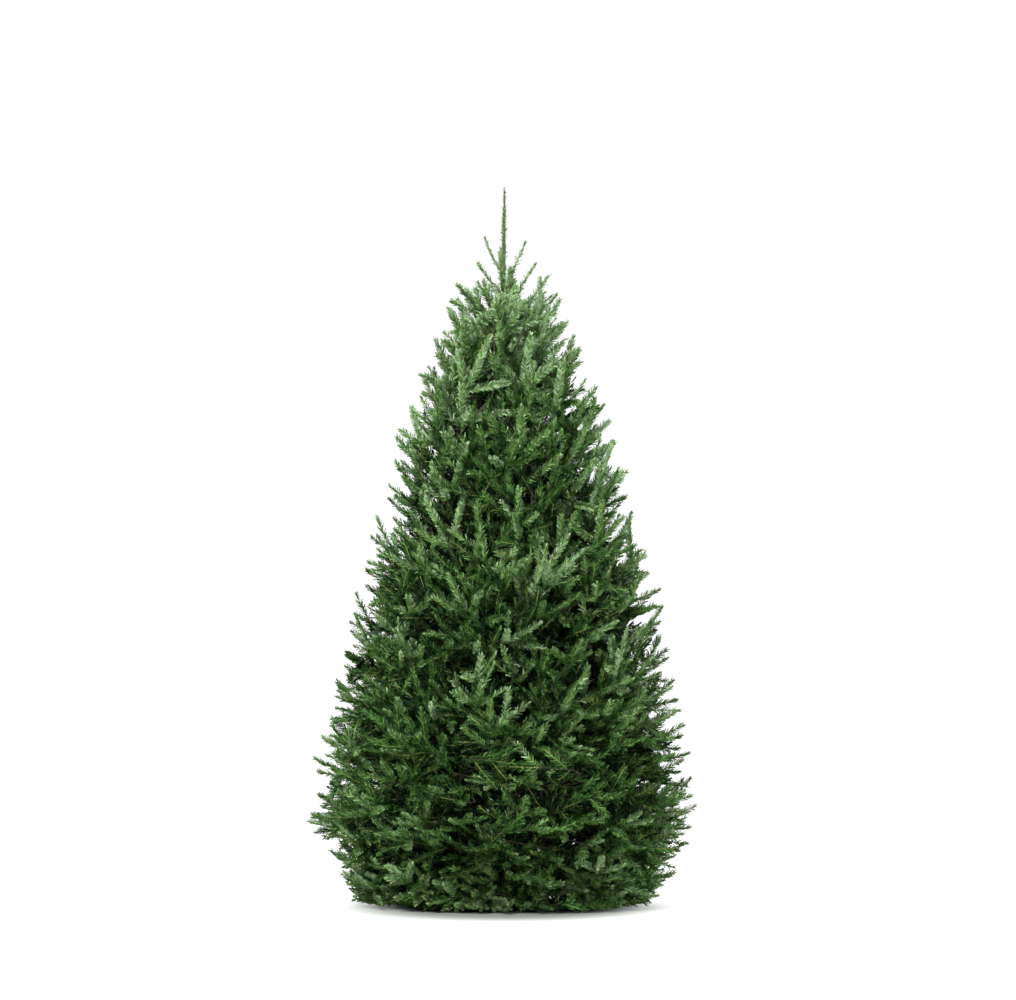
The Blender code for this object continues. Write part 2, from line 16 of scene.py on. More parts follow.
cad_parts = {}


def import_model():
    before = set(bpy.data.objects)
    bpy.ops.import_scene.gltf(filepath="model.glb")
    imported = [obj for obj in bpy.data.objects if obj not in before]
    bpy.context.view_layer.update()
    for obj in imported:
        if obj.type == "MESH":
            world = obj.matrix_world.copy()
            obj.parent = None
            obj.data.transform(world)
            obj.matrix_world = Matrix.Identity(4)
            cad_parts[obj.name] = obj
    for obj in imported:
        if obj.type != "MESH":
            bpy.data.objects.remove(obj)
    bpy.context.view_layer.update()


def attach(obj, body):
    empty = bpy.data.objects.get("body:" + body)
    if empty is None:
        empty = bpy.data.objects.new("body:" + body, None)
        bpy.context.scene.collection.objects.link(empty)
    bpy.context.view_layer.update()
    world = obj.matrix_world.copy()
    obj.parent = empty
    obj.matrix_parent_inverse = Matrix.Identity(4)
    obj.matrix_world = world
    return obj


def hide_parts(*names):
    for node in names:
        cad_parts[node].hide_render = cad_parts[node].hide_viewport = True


SEED = 6
PIECE_LIMIT = 190_000  # triangles in one joined piece
GOLDEN_ANGLE = pi * (3.0 - sqrt(5.0))
UPRIGHT = Vector((0.0, 0.0, 1.0))

# ---- the tree, as in the part's source
TREE_HEIGHT = 2.10
CROWN_TOP_Z = 1.99
CROWN_RADIUS = 0.578
CROWN_WIDEST_Z = 0.25
CROWN_CURVE = 0.61
CROWN_TUCK = 0.15
CROWN_TUCK_CURVE = 1.2
# Swellings of the outline: height, azimuth, how far out, and over how much height
CROWN_SWELLS = (
    (1.10, 0.0, 0.022, 0.40),
    (0.58, 0.0, 0.010, 0.10),
    (0.50, 180.0, 0.020, 0.16),
)
TRUNK_FOOT_RADIUS = 0.048
TRUNK_TOP_RADIUS = 0.0075
TRUNK_TOP_Z = 1.765
TRUNK_CURVE = 0.92
TRUNK_SWEEP = 0.005
# Tiers: name, boughs, azimuth of the first, how steep they are, radius where masses begin
TIERS = (
    ("skirt", 6, -90.0, -0.22, 0.310),
    ("low", 6, -70.0, 0.25, 0.205),
    ("middle", 5, -100.0, 0.50, 0.170),
    ("high", 4, -65.0, 0.80, 0.115),
    ("top", 3, -105.0, 1.20, 0.070),
)
# Faces between the tiers: a radius, the height there, and how much they rise outwards
TIER_FACES = (
    (0.50, 0.010, 0.0),
    (0.55, 0.300, 0.20),
    (0.47, 0.700, 0.45),
    (0.39, 1.110, 0.75),
    (0.28, 1.480, 1.10),
    (0.12, 1.830, 1.50),
)
ROOT_STAGGER = 0.012
SKIRT_BOUGH_END_Z = 0.150
BOUGH_ROOT_RADIUS = 0.013
BOUGH_THINNING = 0.0016
BOUGH_TAPER = 0.62
BOUGH_SAG = 0.008
CORE_DEPTH = 0.098
CORE_CLEAR = 0.014
HEART_DEPTH = 0.55
LEADER_TIP_RADIUS = 0.0022
LEADER_LENGTH = 0.335
SHOOTS_LOWEST = -25.0  # degrees that shoots rise at the floor,
SHOOTS_RISE = 74.0  # how much more at the crown's top, and by which power of height
SHOOTS_CURVE = 0.5
BASIN_FOOT_RADIUS = 0.086
BASIN_RIM_RADIUS = 0.100
BASIN_HEIGHT = 0.150
BASIN_WALL = 0.003
BASIN_FLOOR = 0.005

# ---- fans of shoots
TIER_FANS = (1.0, 1.0, 1.18, 1.22, 1.3)  # how many times as many fans each tier has
FAN_SPACING = 0.84  # distance between neighbouring fans, in shoot lengths
FAN_JITTER = 0.06  # how far a fan strays from its even place in its mass
# Layers of fans, outermost first: nearest and furthest inside the outline as shares of the
# crown's radius, fans for each outer fan, fewest and most side shoots, how dense their needles
# are, how long and how wide
LAYERS = (
    (0.00, 0.06, 1.00, (3, 4), 1.00, 1.00, 1.00),
    (0.08, 0.16, 0.80, (2, 4), 0.55, 1.10, 1.20),
    (0.22, 0.34, 0.95, (2, 3), 0.14, 1.80, 2.60),
    (0.40, 0.58, 0.90, (2, 3), 0.12, 1.90, 3.00),
)
INNER_LAYER = 2  # the first of the shaded layers,
INNER_FROM = 0.20  # and the least radius of a crown that has them
COARSE_FROM = 0.16  # where the crown is wider than this, its layers' needles grow to
COARSE_OVER = 0.24  # their full length and width over this much
UNDER_FANS = 15  # of each skirt mass, close over the floor
UNDER_HEIGHTS = (0.012, 0.105)
UNDER_REACH = (0.80, 1.06)  # how far out their tips are, as a share of the crown's radius
BRANCH_ROWS = 2  # branches of one mass, over its height and its width
BRANCH_COLUMNS = 3
BRANCH_DEPTH = 0.42  # how far out in its mass a branch ends
BRANCH_JITTER = 0.1
BRANCH_SAG = 0.015
FORKS = (0.55, 1.0)  # where branches leave the mass's stem, as shares of its length,
TWIG_STARTS = (0.3, 1.0)  # and where twigs leave their branch
SHOOT_LENGTHS = (0.105, 0.160)
LENGTH_HEIGHTS = (0.20, 1.45)  # between which shoots grow longer
LENGTH_SPREAD = (0.80, 1.20)
OLD_LENGTHS = (0.55, 0.85)  # last year's growth against this year's,
OLD_DENSE = 0.8  # and how dense its needles are
NEAR_LENGTHS = (0.58, 0.90)  # side shoots from its tip against the leading shoot,
FAR_LENGTHS = (0.80, 1.10)  # side shoots from further back,
FAR_STARTS = (0.0, 0.35)  # and where along last year's growth those start
SIDE_ANGLES = (34.0, 52.0)  # degrees between side shoots and the leading one
SIDE_LIFT = 0.32  # how far side shoots leave the fan's plane
HEADING_SPREAD = 0.45
ELEVATION_SPREAD = 0.24
ROLL_SPREAD = 0.70
YOUNG_LIFT = radians(9.0)  # young shoots rise this much more than their sprays
CURL_UP = 0.035  # how far a shoot's tip curls up, as a share of its length
CURL_SPREAD = (0.03, 0.025)  # upwards and sideways
POKE_OUT = (-0.018, 0.014)  # how far outer fans may pass the outline
# How much further in a fan's twig stays: this year's foot, last year's foot and the elbow
NODE_INSIDE, OLD_INSIDE, ELBOW_INSIDE = 0.006, 0.012, 0.045
LOWEST_TIP = 0.012
FLOOR_GAP = 0.002

# ---- shoots that line the crown's inside, most of them in dark tints that paint its shade
HEART_SHOOTS = 230  # short shoots straight from the trunk
HEART_HEIGHTS = (0.20, 1.60)
HEART_LENGTHS = (0.08, 0.15)
HEART_WIDER = 1.1  # how much longer the low ones are, per metre below this height
HEART_WIDER_BELOW = 0.9
HEART_SPREAD = 0.2
HEART_SLACK = -0.03
HEART_LOW = ("deep", 0.35, 1.6)  # tint, how dense and how wide below INNER_BELOW, and above it
HEART_HIGH = ("mid", 0.70, 1.2)
SHADED_TIERS = 3  # low tiers whose boughs carry thinly needled inner shoots,
SHADED_SHOOTS = 14  # and how many each bough has
SHADED_LENGTHS = (0.14, 0.24)
SHADED_TURN = 1.4  # radians that they turn aside from the bough, and that they rise
SHADED_RISE = (0.0, 1.1)
SHADED_SLACK = -0.06
# How needles stand all round, how dense they are, how long and how wide
SHADED_KIND = {"brush": 0.8, "dense": 0.20, "needle": 1.7, "wide": 2.4}
LINING_KIND = (0.8, 0.26, 1.1, 1.7)  # along the outer fans' twigs,
LINING_BELOW = 1.5  # up to this height

# ---- needles, buds and twigs
# The least paleness of each tint of the outer layers
TINT_STEPS = (("silver", 0.92), ("sage", 0.40), ("fresh", 0.08), ("mid", -0.30))
PALE_SPREAD = 0.32  # how far chance makes sprays paler or darker
LAYER_SHADE = 0.5  # painted shade: how much less pale a layer is than the one outside it
# Sprays low down are made paler as painted light, in place of the light that the floor bounces up.
PALE_RISE, PALE_MIDDLE = 0.22, 0.9  # how much paler sprays are for each metre above 0.9 m,
PALE_TOP, PALE_TOP_Z = 2.1, 1.50  # how much more so above 1.50 m,
PAINTED_FOOT_LIGHT, PALE_FOOT_Z = 1.8, 0.45  # and how much paler for each metre below 0.45 m
INNER_BELOW = 1.35  # shaded shoots are "inner" below this height and "deep" above it
MID_ABOVE = 1.45  # the second layer is no darker than "mid" above this height,
OLD_SAGE_ABOVE = 1.55  # and last year's growth is "sage" above this one
SAME_TINT = 0.7  # how many side shoots have their leading shoot's tint
TINT_SHIFT = (0.28, 0.36, 0.36)  # shares of needles one tint paler, as dealt, one darker
UNDERSIDE_SHADE = 1.85  # radians from the shoot's top beyond which needles are a tint darker, a painted shade
FOOT_SHADE_SHARE = 0.45  # how far up from a shoot's foot its needles may be a tint darker, a painted shade
BRUSH = (0.25, 0.55)  # 0 for needles to the two sides only, 1 for needles all round
ROUNDER_UP, ROUNDER_FROM = 0.32, 0.6  # how much more of a brush for each metre above 0.6 m
DENSER_UP, DENSER_FROM = 0.75, 1.0  # how much denser needles are for each metre above 1 m
SPARSE = 0.3  # shoots with sparser needles than this are shaded ones
NEEDLE_BUDGET = 415_000
NEEDLE_LENGTH = 0.0172
NEEDLE_WIDTH = 0.0036
NEEDLE_SIZES = (0.90, 1.08)
NEEDLE_NEAREST = (42.0, 8.0)  # degrees from the shoot's top to its nearest needle, on a flat
NEEDLE_FURTHEST = (110.0, 178.0)  # shoot and on a brush, and to its furthest
NEEDLE_LEAN = (44.0, 32.0)  # degrees between needle and shoot, at its foot and its tip,
BRUSH_LEAN = 40.0  # how much more on a full brush,
END_LEAN = 18.0  # and how much less over the last tenth
NEEDLE_RISE = 0.16  # how far needles turn towards the shoot's top
NEEDLE_CURL = (-0.04, 0.12)
BUD_RADIUS = 0.0022
BUD_LENGTH = 0.0065
SHOOT_RADIUS = 0.0014
TWIG_FOOT = 0.0023
TWIG_END = 0.0014
BRANCH_FOOT = 0.0042

# ---- shoots round the leader's foot: azimuth in degrees, how far out the tip is, its height,
# the height that it starts from, how dense its needles are and how long
WHORL = (
    (188.0, 0.056, 1.955, 1.842, 0.9, 0.55),
    (350.0, 0.064, 1.942, 1.812, 0.9, 0.6),
    (172.0, 0.076, 1.881, 1.790, 0.9, 0.6),
    (12.0, 0.096, 1.881, 1.745, 0.9, 0.62),
    (262.0, 0.078, 1.902, 1.790, 1.0, 0.66),
    (98.0, 0.070, 1.925, 1.805, 1.0, 0.62),
    (70.0, 0.086, 1.872, 1.760, 1.0, 0.66),
    (285.0, 0.070, 1.862, 1.750, 1.0, 0.7),
    (345.0, 0.135, 1.839, 1.680, 1.0, 0.75),
    (195.0, 0.077, 1.823, 1.715, 1.15, 0.85),
    (50.0, 0.050, 1.832, 1.760, 1.0, 0.75),
    (230.0, 0.085, 1.800, 1.690, 1.1, 0.9),
    (310.0, 0.080, 1.805, 1.690, 1.1, 0.9),
    (130.0, 0.090, 1.830, 1.700, 1.1, 0.85),
    (160.0, 0.106, 1.790, 1.660, 1.0, 0.85),
    (0.0, 0.155, 1.786, 1.630, 1.0, 0.85),
    (75.0, 0.110, 1.800, 1.660, 1.0, 0.85),
    (280.0, 0.060, 1.780, 1.680, 1.1, 0.95),
)
# Two coats of needles on each: how dense and long they are against the list, and how wide
WHORL_COATS = ((1.6, 0.80, 0.75), (0.32, 1.50, 0.85))
WHORL_BRUSH = 0.95
WHORL_SAGE = 0.4  # how many are "sage", the others being "silver"
# The leader's needles: tint, how dense, long and wide, how far from its axis they start
LEADER_COATS = (("sage", 2.2, 0.36, 0.75, 0.0042), ("fresh", 0.30, 0.80, 0.90, 0.0046))
LEADER_NEEDLED = (1.775, 2.045)  # the heights between which it has them
LEADER_TIP = ("deep", 1.0, 0.7, 0.30, 0.7, 0.0030)

# ---- the stand
LEGS = 4
LEG_REACH = 0.275
LEG_WIDTH = 0.032
LEG_THICKNESS = 0.005
LEG_TOP_Z = 0.108
LEG_FLANGE = 0.045
LEG_CLEARANCE = 0.0004
LEG_BEND = 0.010
FOOT_LENGTH = 0.050
SCREW_Z = 0.128
SCREW_RADIUS = 0.0045
SCREW_KNOB_RADIUS = 0.013
SCREW_KNOB_LENGTH = 0.012
SCREW_PROUD = 0.034
SCREW_CORE = SCREW_RADIUS * 0.86
SCREW_PITCH = 0.0012
KNOB_ROLL = 0.002
BEVEL_ANGLE = radians(50.0)
CRISP_ANGLE = radians(35.0)

# ---- bark
TRUNK_RINGS = 260
TRUNK_SIDES = 40
LEADER_RINGS = 60
SWELL_REACH = 0.022  # over how much height the trunk swells at each tier
BARK_STRETCH = 0.45  # how much longer plates are upwards

# ---- colours: needles by tint with their roughness; bark as cracks, plates, flecks, pattern
# scale and roughness
NEEDLE_TINTS = {
    "silver": ((0.228, 0.335, 0.178), 0.50),
    "sage": ((0.130, 0.230, 0.087), 0.47),
    "fresh": ((0.066, 0.154, 0.030), 0.44),
    "mid": ((0.036, 0.094, 0.019), 0.45),
    # 'deep' is a dark green that also paints shade on inner shoots and undersides; 'inner', near
    # black, is painted shade deep in the crown.
    "deep": ((0.017, 0.052, 0.009), 0.43),
    "inner": ((0.006, 0.019, 0.004), 0.50),
}
TINTS = tuple(NEEDLE_TINTS)
SHOOT_BARK = ((0.100, 0.108, 0.028), (0.190, 0.212, 0.056), (0.27, 0.28, 0.10), 180.0, 0.80)
LEADER_BARK = ((0.022, 0.024, 0.010), (0.052, 0.056, 0.024), (0.095, 0.098, 0.048), 180.0, 0.80)
TWIG_BARK = ((0.009, 0.008, 0.003), (0.025, 0.022, 0.009), (0.050, 0.045, 0.020), 120.0, 0.95)
TRUNK_BARK = ((0.014, 0.010, 0.008), (0.060, 0.045, 0.034), (0.13, 0.115, 0.10), 45.0, 0.90)
BUD_SCALES = ((0.06, 0.035, 0.02), (0.14, 0.085, 0.045), (0.24, 0.16, 0.09), 400.0, 0.55)
# Colours of the stand, each from its place in a pattern on
ENAMEL = ((0.0, (0.013, 0.034, 0.021)), (0.62, (0.018, 0.046, 0.029)), (0.85, (0.04, 0.066, 0.05)))
ZINC = ((0.25, (0.34, 0.33, 0.30)), (0.55, (0.54, 0.53, 0.49)), (0.80, (0.64, 0.62, 0.56)))

# ---- floor and light
WHITE = (1.0, 1.0, 1.0, 1.0)
WORLD_SEEN = 1.10
WORLD_LIGHT = 0.11
FLOOR_REACH = 3.6
FLOOR_SIDES = 96
# The floor's own dark colour is a painted shadow under the tree, and an emission glow round it
# paints the floor white further out.
FLOOR_SHADOW_COLOUR = (0.180, 0.195, 0.172)
FLOOR_SHADOW_POOL = (0.0, -0.13, 0.0)  # the middle of the floor's darker pool under the tree,
FLOOR_NARROW = 1.30  # how many times as deep as wide it is,
FLOOR_GLOW = (0.32, 0.77, 1.0)  # and where the glow round it begins, where it is full, how strong
# Lamps: name, place, what it points at, size in metres, watts
LIGHTS = (
    ("key", (-2.6, -4.8, 5.0), (0.0, 0.0, 1.0), 1.6, 1000.0),
    ("fill", (3.6, -5.4, 1.7), (0.0, 0.0, 0.8), 2.2, 350.0),
    ("top", (0.0, 2.0, 5.6), (0.0, 0.0, 1.0), 2.8, 520.0),
    ("back", (2.4, 5.2, 3.4), (0.0, 0.0, 1.0), 2.8, 260.0),
)

# ---- the camera
CAMERA_DISTANCE = 18.0
CAMERA_HEIGHT = 1.186
CAMERA_X = 0.010
METRES_PER_PIXEL = 0.00293
IMAGE_WIDTH = 1016


def mix(low, high, share):
    return low + (high - low) * share


def clamp(share):
    return min(1.0, max(0.0, share))


def cylindrical(radius, azimuth, z):
    return Vector((radius * cos(azimuth), radius * sin(azimuth), z))


def crown_radius(z, azimuth):
    if z >= CROWN_WIDEST_Z:
        down = max(0.0, CROWN_TOP_Z - z) / (CROWN_TOP_Z - CROWN_WIDEST_Z)
        radius = CROWN_RADIUS * down ** CROWN_CURVE
    else:
        below = (CROWN_WIDEST_Z - max(z, 0.0)) / CROWN_WIDEST_Z
        radius = CROWN_RADIUS - CROWN_TUCK * below ** CROWN_TUCK_CURVE
    for height, side, amount, reach in CROWN_SWELLS:
        facing = max(0.0, cos(azimuth - radians(side)))
        radius += amount * facing * exp(-((z - height) / reach) ** 2)
    return radius


def shoot_elevation(z):
    return radians(SHOOTS_LOWEST + SHOOTS_RISE * clamp(z / CROWN_TOP_Z) ** SHOOTS_CURVE)


def trunk_radius(z):
    return mix(TRUNK_FOOT_RADIUS, TRUNK_TOP_RADIUS, clamp(z / TRUNK_TOP_Z) ** TRUNK_CURVE)


def trunk_axis(z):
    rise = max(0.0, z - BASIN_HEIGHT) / (TREE_HEIGHT - BASIN_HEIGHT)
    bow = TRUNK_SWEEP * sin(2.0 * pi * rise)
    return Vector((bow, -0.5 * bow, z))


def face_height(index, radius):
    at_radius, at_height, slope = TIER_FACES[index]
    return at_height + slope * (radius - at_radius)


def tier_azimuth(tier, number):
    _, count, turn, _, _ = TIERS[tier]
    return radians(turn) + number * 2.0 * pi / count


def place_in_tier(tier, azimuth, depth, height, inset=0.0):
    """The point at these shares of a mass's depth and height, settled by steps."""
    inner = TIERS[tier][4]
    radius = inner
    z = 0.0
    for _ in range(12):
        z = mix(face_height(tier, radius), face_height(tier + 1, radius), height)
        radius = mix(radius, mix(inner, crown_radius(z, azimuth) - inset, depth), 0.6)
    return cylindrical(radius, azimuth, z)


def mass_name(tier, number):
    return f"foliage_{TIERS[tier][0]}_{number + 1}"


def mass_heart(tier, azimuth):
    """Where the stem of a mass ends."""
    return place_in_tier(tier, azimuth, HEART_DEPTH, 0.5, CORE_DEPTH)


def every_mass(tiers=len(TIERS)):
    """The tier, number and azimuth of each mass in the lowest tiers."""
    for tier in range(tiers):
        for number in range(TIERS[tier][1]):
            yield tier, number, tier_azimuth(tier, number)


def bough_end(tier, azimuth):
    inner = TIERS[tier][4]
    low, high = face_height(tier, inner), face_height(tier + 1, inner)
    z = SKIRT_BOUGH_END_Z if tier == 0 else mix(low, high, 0.5)
    chord = inner * cos(pi / TIERS[tier][1] / 2)
    return cylindrical(chord - CORE_CLEAR, azimuth, z)


def bough_root(tier, number):
    _, _, _, slope, inner = TIERS[tier]
    end = bough_end(tier, tier_azimuth(tier, number))
    stagger = ROOT_STAGGER * (-1) ** number
    return end.z - slope * (inner - trunk_radius(end.z)) + stagger


# ---- materials

def set_inputs(tree, node, inputs):
    """Sets a node's inputs, and links those whose value is another node's output."""
    for name, value in inputs.items():
        if isinstance(value, bpy.types.NodeSocket):
            tree.links.new(value, node.inputs[name])
        else:
            node.inputs[name].default_value = value


def add_node(tree, kind, inputs, **modes):
    node = tree.nodes.new(f"ShaderNode{kind}")
    for name, mode in modes.items():
        setattr(node, name, mode)
    set_inputs(tree, node, inputs)
    return node


def new_material(name, colour, roughness, looks):
    """A Principled material with these looks. Returns it with its node tree and its shader."""
    mat = bpy.data.materials.new(name)
    mat.use_nodes = True
    mat.diffuse_color = (*colour, 1.0)
    shader = mat.node_tree.nodes["Principled BSDF"]
    looks = {"Base Color": (*colour, 1.0), "Roughness": roughness, **looks}
    set_inputs(mat.node_tree, shader, looks)
    return mat, mat.node_tree, shader


def add_noise(tree, scale, detail, stretch=(1.0, 1.0, 1.0)):
    """A noise pattern over the object's own coordinates, squeezed or drawn out by axis."""
    place = tree.nodes.new("ShaderNodeTexCoord").outputs["Object"]
    turn = add_node(tree, "Mapping", {"Vector": place, "Scale": stretch})
    inputs = {"Vector": turn.outputs["Vector"], "Scale": scale, "Detail": detail}
    return add_node(tree, "TexNoise", inputs).outputs["Fac"]


def map_range(tree, value, low, high):
    """A value from 0 to 1 carried to low to high."""
    inputs = {"Value": value, "To Min": low, "To Max": high}
    return add_node(tree, "MapRange", inputs).outputs["Result"]


def dealt_material(name, colour, roughness, looks, pattern, gloss, bump, stops=(), grain=None):
    """A material whose gloss, colour and bump are dealt out by a noise pattern.

    A pattern is (scale, detail, stretch), gloss the roughness at its low and high end, and stops
    its colours by position. The bump, as (strength, distance), follows the grain if there is one.
    """
    mat, tree, shader = new_material(name, colour, roughness, looks)
    dealt = add_noise(tree, *pattern)
    set_inputs(tree, shader, {"Roughness": map_range(tree, dealt, *gloss)})
    if stops:
        ramp = add_node(tree, "ValToRGB", {"Fac": dealt})
        while len(ramp.color_ramp.elements) < len(stops):
            ramp.color_ramp.elements.new(0.5)
        for element, (position, shade) in zip(ramp.color_ramp.elements, stops):
            element.position = position
            element.color = (*shade, 1.0)
        set_inputs(tree, shader, {"Base Color": ramp.outputs["Color"]})
    height = add_noise(tree, *grain) if grain else dealt
    inputs = {"Height": height, "Strength": bump[0], "Distance": bump[1]}
    set_inputs(tree, shader, {"Normal": add_node(tree, "Bump", inputs).outputs["Normal"]})
    return mat


def needle_material(name, colour, roughness):
    """Waxy needles: one base colour for the whole spray, with uneven gloss and a fine ridge."""
    gloss = (roughness - 0.10, roughness + 0.14)
    return dealt_material(name, colour, roughness, {"Specular IOR Level": 0.12}, (260.0, 2.0),
                          gloss, (0.25, 0.0006))


def bark_material(name, dark, mid, light, scale, roughness):
    """Bark: grey-brown plates over darker cracks, with lichen-pale flecks."""
    plates, grain = (scale, 5.0, (1.0, 1.0, 0.35)), (scale * 4.0, 4.0, (1.0, 1.0, 0.5))
    stops = ((0.30, dark), (0.48, mid), (0.62, mid), (0.80, light))
    gloss = (roughness + 0.08, roughness - 0.12)
    return dealt_material(name, mid, roughness, {}, plates, gloss, (0.6, 0.0012), stops, grain)


def painted_steel():
    """Dark green enamel on pressed steel: a little orange peel, with uneven gloss."""
    coat = {"Coat Weight": 0.25, "Coat Roughness": 0.18}
    return dealt_material("stand_enamel", (0.016, 0.042, 0.026), 0.34, coat, (34.0, 6.0),
                          (0.26, 0.52), (0.12, 0.0004), ENAMEL, (420.0, 1.0))


def zinc_steel():
    """Zinc-plated screws: spangled grey with a faint yellow cast."""
    return dealt_material("zinc_plate", (0.52, 0.51, 0.47), 0.34, {"Metallic": 1.0},
                          (300.0, 3.0), (0.24, 0.46), (0.15, 0.0003), ZINC)


# ---- meshes

def add_object(name, data):
    obj = bpy.data.objects.new(name, data)
    bpy.context.scene.collection.objects.link(obj)
    return obj


def make_piece(name, parts, materials, replaced, face_slots=None):
    """One mesh of all the parts' vertices and triangles, smooth where it has one material."""
    starts = np.cumsum([0] + [len(verts) for verts, _ in parts])
    points = np.concatenate([verts for verts, _ in parts])
    faces = np.concatenate([tris + start for (_, tris), start in zip(parts, starts)])
    mesh = bpy.data.meshes.new(name)
    mesh.vertices.add(len(points))
    mesh.vertices.foreach_set("co", np.asarray(points, np.float32).ravel())
    mesh.loops.add(faces.size)
    mesh.loops.foreach_set("vertex_index", np.asarray(faces, np.int32).ravel())
    mesh.polygons.add(len(faces))
    mesh.polygons.foreach_set("loop_start", np.arange(0, faces.size, 3, dtype=np.int32))
    if face_slots is not None:
        mesh.polygons.foreach_set("material_index", np.asarray(face_slots, np.int32))
    mesh.polygons.foreach_set("use_smooth", np.full(len(faces), face_slots is None))
    for mat in materials:
        mesh.materials.append(mat)
    mesh.update(calc_edges=True)
    mesh.validate()
    add_piece(name, mesh, replaced)


def add_piece(name, mesh, replaced):
    """A piece that rides on the body and stands for the nodes replaced."""
    obj = add_object(name, mesh)
    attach(obj, "root")
    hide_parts(*replaced)


def tube_arrays(points, radii, sides, relief=None):
    """Rings round a line of points, with both ends closed: (vertices, triangles).

    relief(points, spokes, reach) gives how far each vertex stands out from its radius.
    """
    points = np.asarray(points, float)
    along = unit(np.gradient(points, axis=0))
    side = np.cross(along[0], (0.0, 0.0, 1.0))
    if np.linalg.norm(side) < 0.2:
        side = np.cross(along[0], (0.0, 1.0, 0.0))
    sides_of = np.empty_like(points)
    for i, direction in enumerate(along):
        side = side - direction * side.dot(direction)
        side = side / np.linalg.norm(side)
        sides_of[i] = side
    turn = (np.arange(sides) * 2.0 * pi / sides)[:, None]
    spokes = sides_of[:, None] * np.cos(turn) + np.cross(sides_of, along)[:, None] * np.sin(turn)
    reach = np.repeat(np.asarray(radii, float)[:, None], sides, axis=1)
    if relief is not None:
        reach = reach + relief(points, spokes, reach)
    rings = points[:, None] + spokes * reach[..., None]
    near = np.arange(sides)
    far = (near + 1) % sides
    foot = np.full(sides, len(points) * sides)
    last = (len(points) - 1) * sides
    starts = np.arange(0, last, sides)[:, None]
    low, turned = (starts + near).ravel(), (starts + far).ravel()
    tris = ((low, turned + sides, turned), (low, low + sides, turned + sides),
            (near, far, foot), (last + far, last + near, foot + 1))
    verts = np.concatenate([rings.reshape(-1, 3), points[:1], points[-1:]])
    return verts, np.concatenate([np.stack(corners, axis=-1) for corners in tris])


def smooth_line(points, steps):
    """Points along a Catmull-Rom curve through the given points."""
    points = [np.asarray(p, float) for p in points]
    ends = [2 * points[0] - points[1], *points, 2 * points[-1] - points[-2]]
    line = []
    for a, b, c, d in zip(ends, ends[1:], ends[2:], ends[3:]):
        for i in range(steps):
            t = i / steps
            line.append(0.5 * (2 * b + (c - a) * t + (2 * a - 5 * b + 4 * c - d) * t * t
                               + (3 * b - a - 3 * c + d) * t ** 3))
    line.append(points[-1])
    return np.array(line)


def bezier(a, b, c, shares):
    shares = np.asarray(shares)[:, None]
    return a * (1 - shares) ** 2 + 2 * b * shares * (1 - shares) + c * shares ** 2


# ---- growth

class Plant:
    """What has been grown so far: the shoots of each mass, and all stems, twigs and buds."""

    def __init__(self):
        self.shoots = {}
        self.stems = []
        self.thin_stems = []
        self.twigs = []
        self.buds = []
        self.mass = ""

    def shoot(self, base, bend, tip, up, tint, brush, dense, needle, wide, girth=SHOOT_RADIUS,
              bud=True):
        kind = (TINTS.index(tint), brush, dense, needle, wide, girth)
        self.shoots.setdefault(self.mass, []).append((base, bend, tip, up, *kind))
        if dense < SPARSE:
            self.thin_stems.append((base, bend, tip))
            return
        self.stems.append((base, bend, tip))
        if bud:
            self.buds.append((tip, (tip - bend).normalized()))


def keep_inside(point, slack):
    """The point, drawn in where it would leave the crown's outline or reach the floor."""
    radius = hypot(point.x, point.y)
    limit = crown_radius(point.z, atan2(point.y, point.x)) + slack
    if radius > limit:
        point = Vector((point.x * limit / radius, point.y * limit / radius, point.z))
    point.z = max(point.z, LOWEST_TIP)
    return point


def shoot_length(z):
    low, high = LENGTH_HEIGHTS
    return mix(*SHOOT_LENGTHS, clamp((z - low) / (high - low)))


def choose_tint(up, outward, z, layer, draw):
    """Sprays that turn their underside out look silvery; each layer inwards is less pale, and the
    shaded layers take dark tints, a painted shade.
    """
    if layer >= INNER_LAYER:
        return "inner" if z < INNER_BELOW else "deep"
    pale = -up.dot(outward) + draw.gauss(0.0, PALE_SPREAD) - LAYER_SHADE * layer
    pale += PALE_RISE * (z - PALE_MIDDLE) + PALE_TOP * max(0.0, z - PALE_TOP_Z)
    pale += PAINTED_FOOT_LIGHT * max(0.0, PALE_FOOT_Z - z)
    for tint, least in TINT_STEPS:
        if pale > least:
            return tint
    return "mid" if layer == 0 or z > MID_ABOVE else "deep"


def grow_shoot(plant, base, direction, up, length, tint, draw, slack, **kind):
    """One needled shoot, a little curved."""
    tip = keep_inside(base + direction * length, slack)
    middle = (base + tip) / 2
    side = direction.cross(up)
    bend = up * draw.gauss(CURL_UP, CURL_SPREAD[0]) + side * draw.gauss(0.0, CURL_SPREAD[1])
    plant.shoot(base, middle - bend * length, tip, up, tint, **kind)


def grow_in_layer(plant, tier, azimuth, height, layer, hub, draw):
    """A fan at its layer's depth inside the outline, where there is room for it."""
    slack = draw.uniform(*POKE_OUT) if layer == 0 else 0.0
    skin = place_in_tier(tier, azimuth, 1.0, height)
    breadth = hypot(skin.x, skin.y)
    inset = draw.uniform(*LAYERS[layer][:2]) * breadth
    if layer >= INNER_LAYER:
        slack = -0.5 * inset
    tip = place_in_tier(tier, azimuth, 1.0, height, inset - max(0.0, slack))
    if hypot(tip.x, tip.y) <= TIERS[tier][4] * 0.9:
        return
    if layer < INNER_LAYER or breadth > INNER_FROM:
        coarse = clamp((breadth - COARSE_FROM) / COARSE_OVER)
        grow_fan(plant, tip, azimuth, layer, hub, slack, draw, coarse)


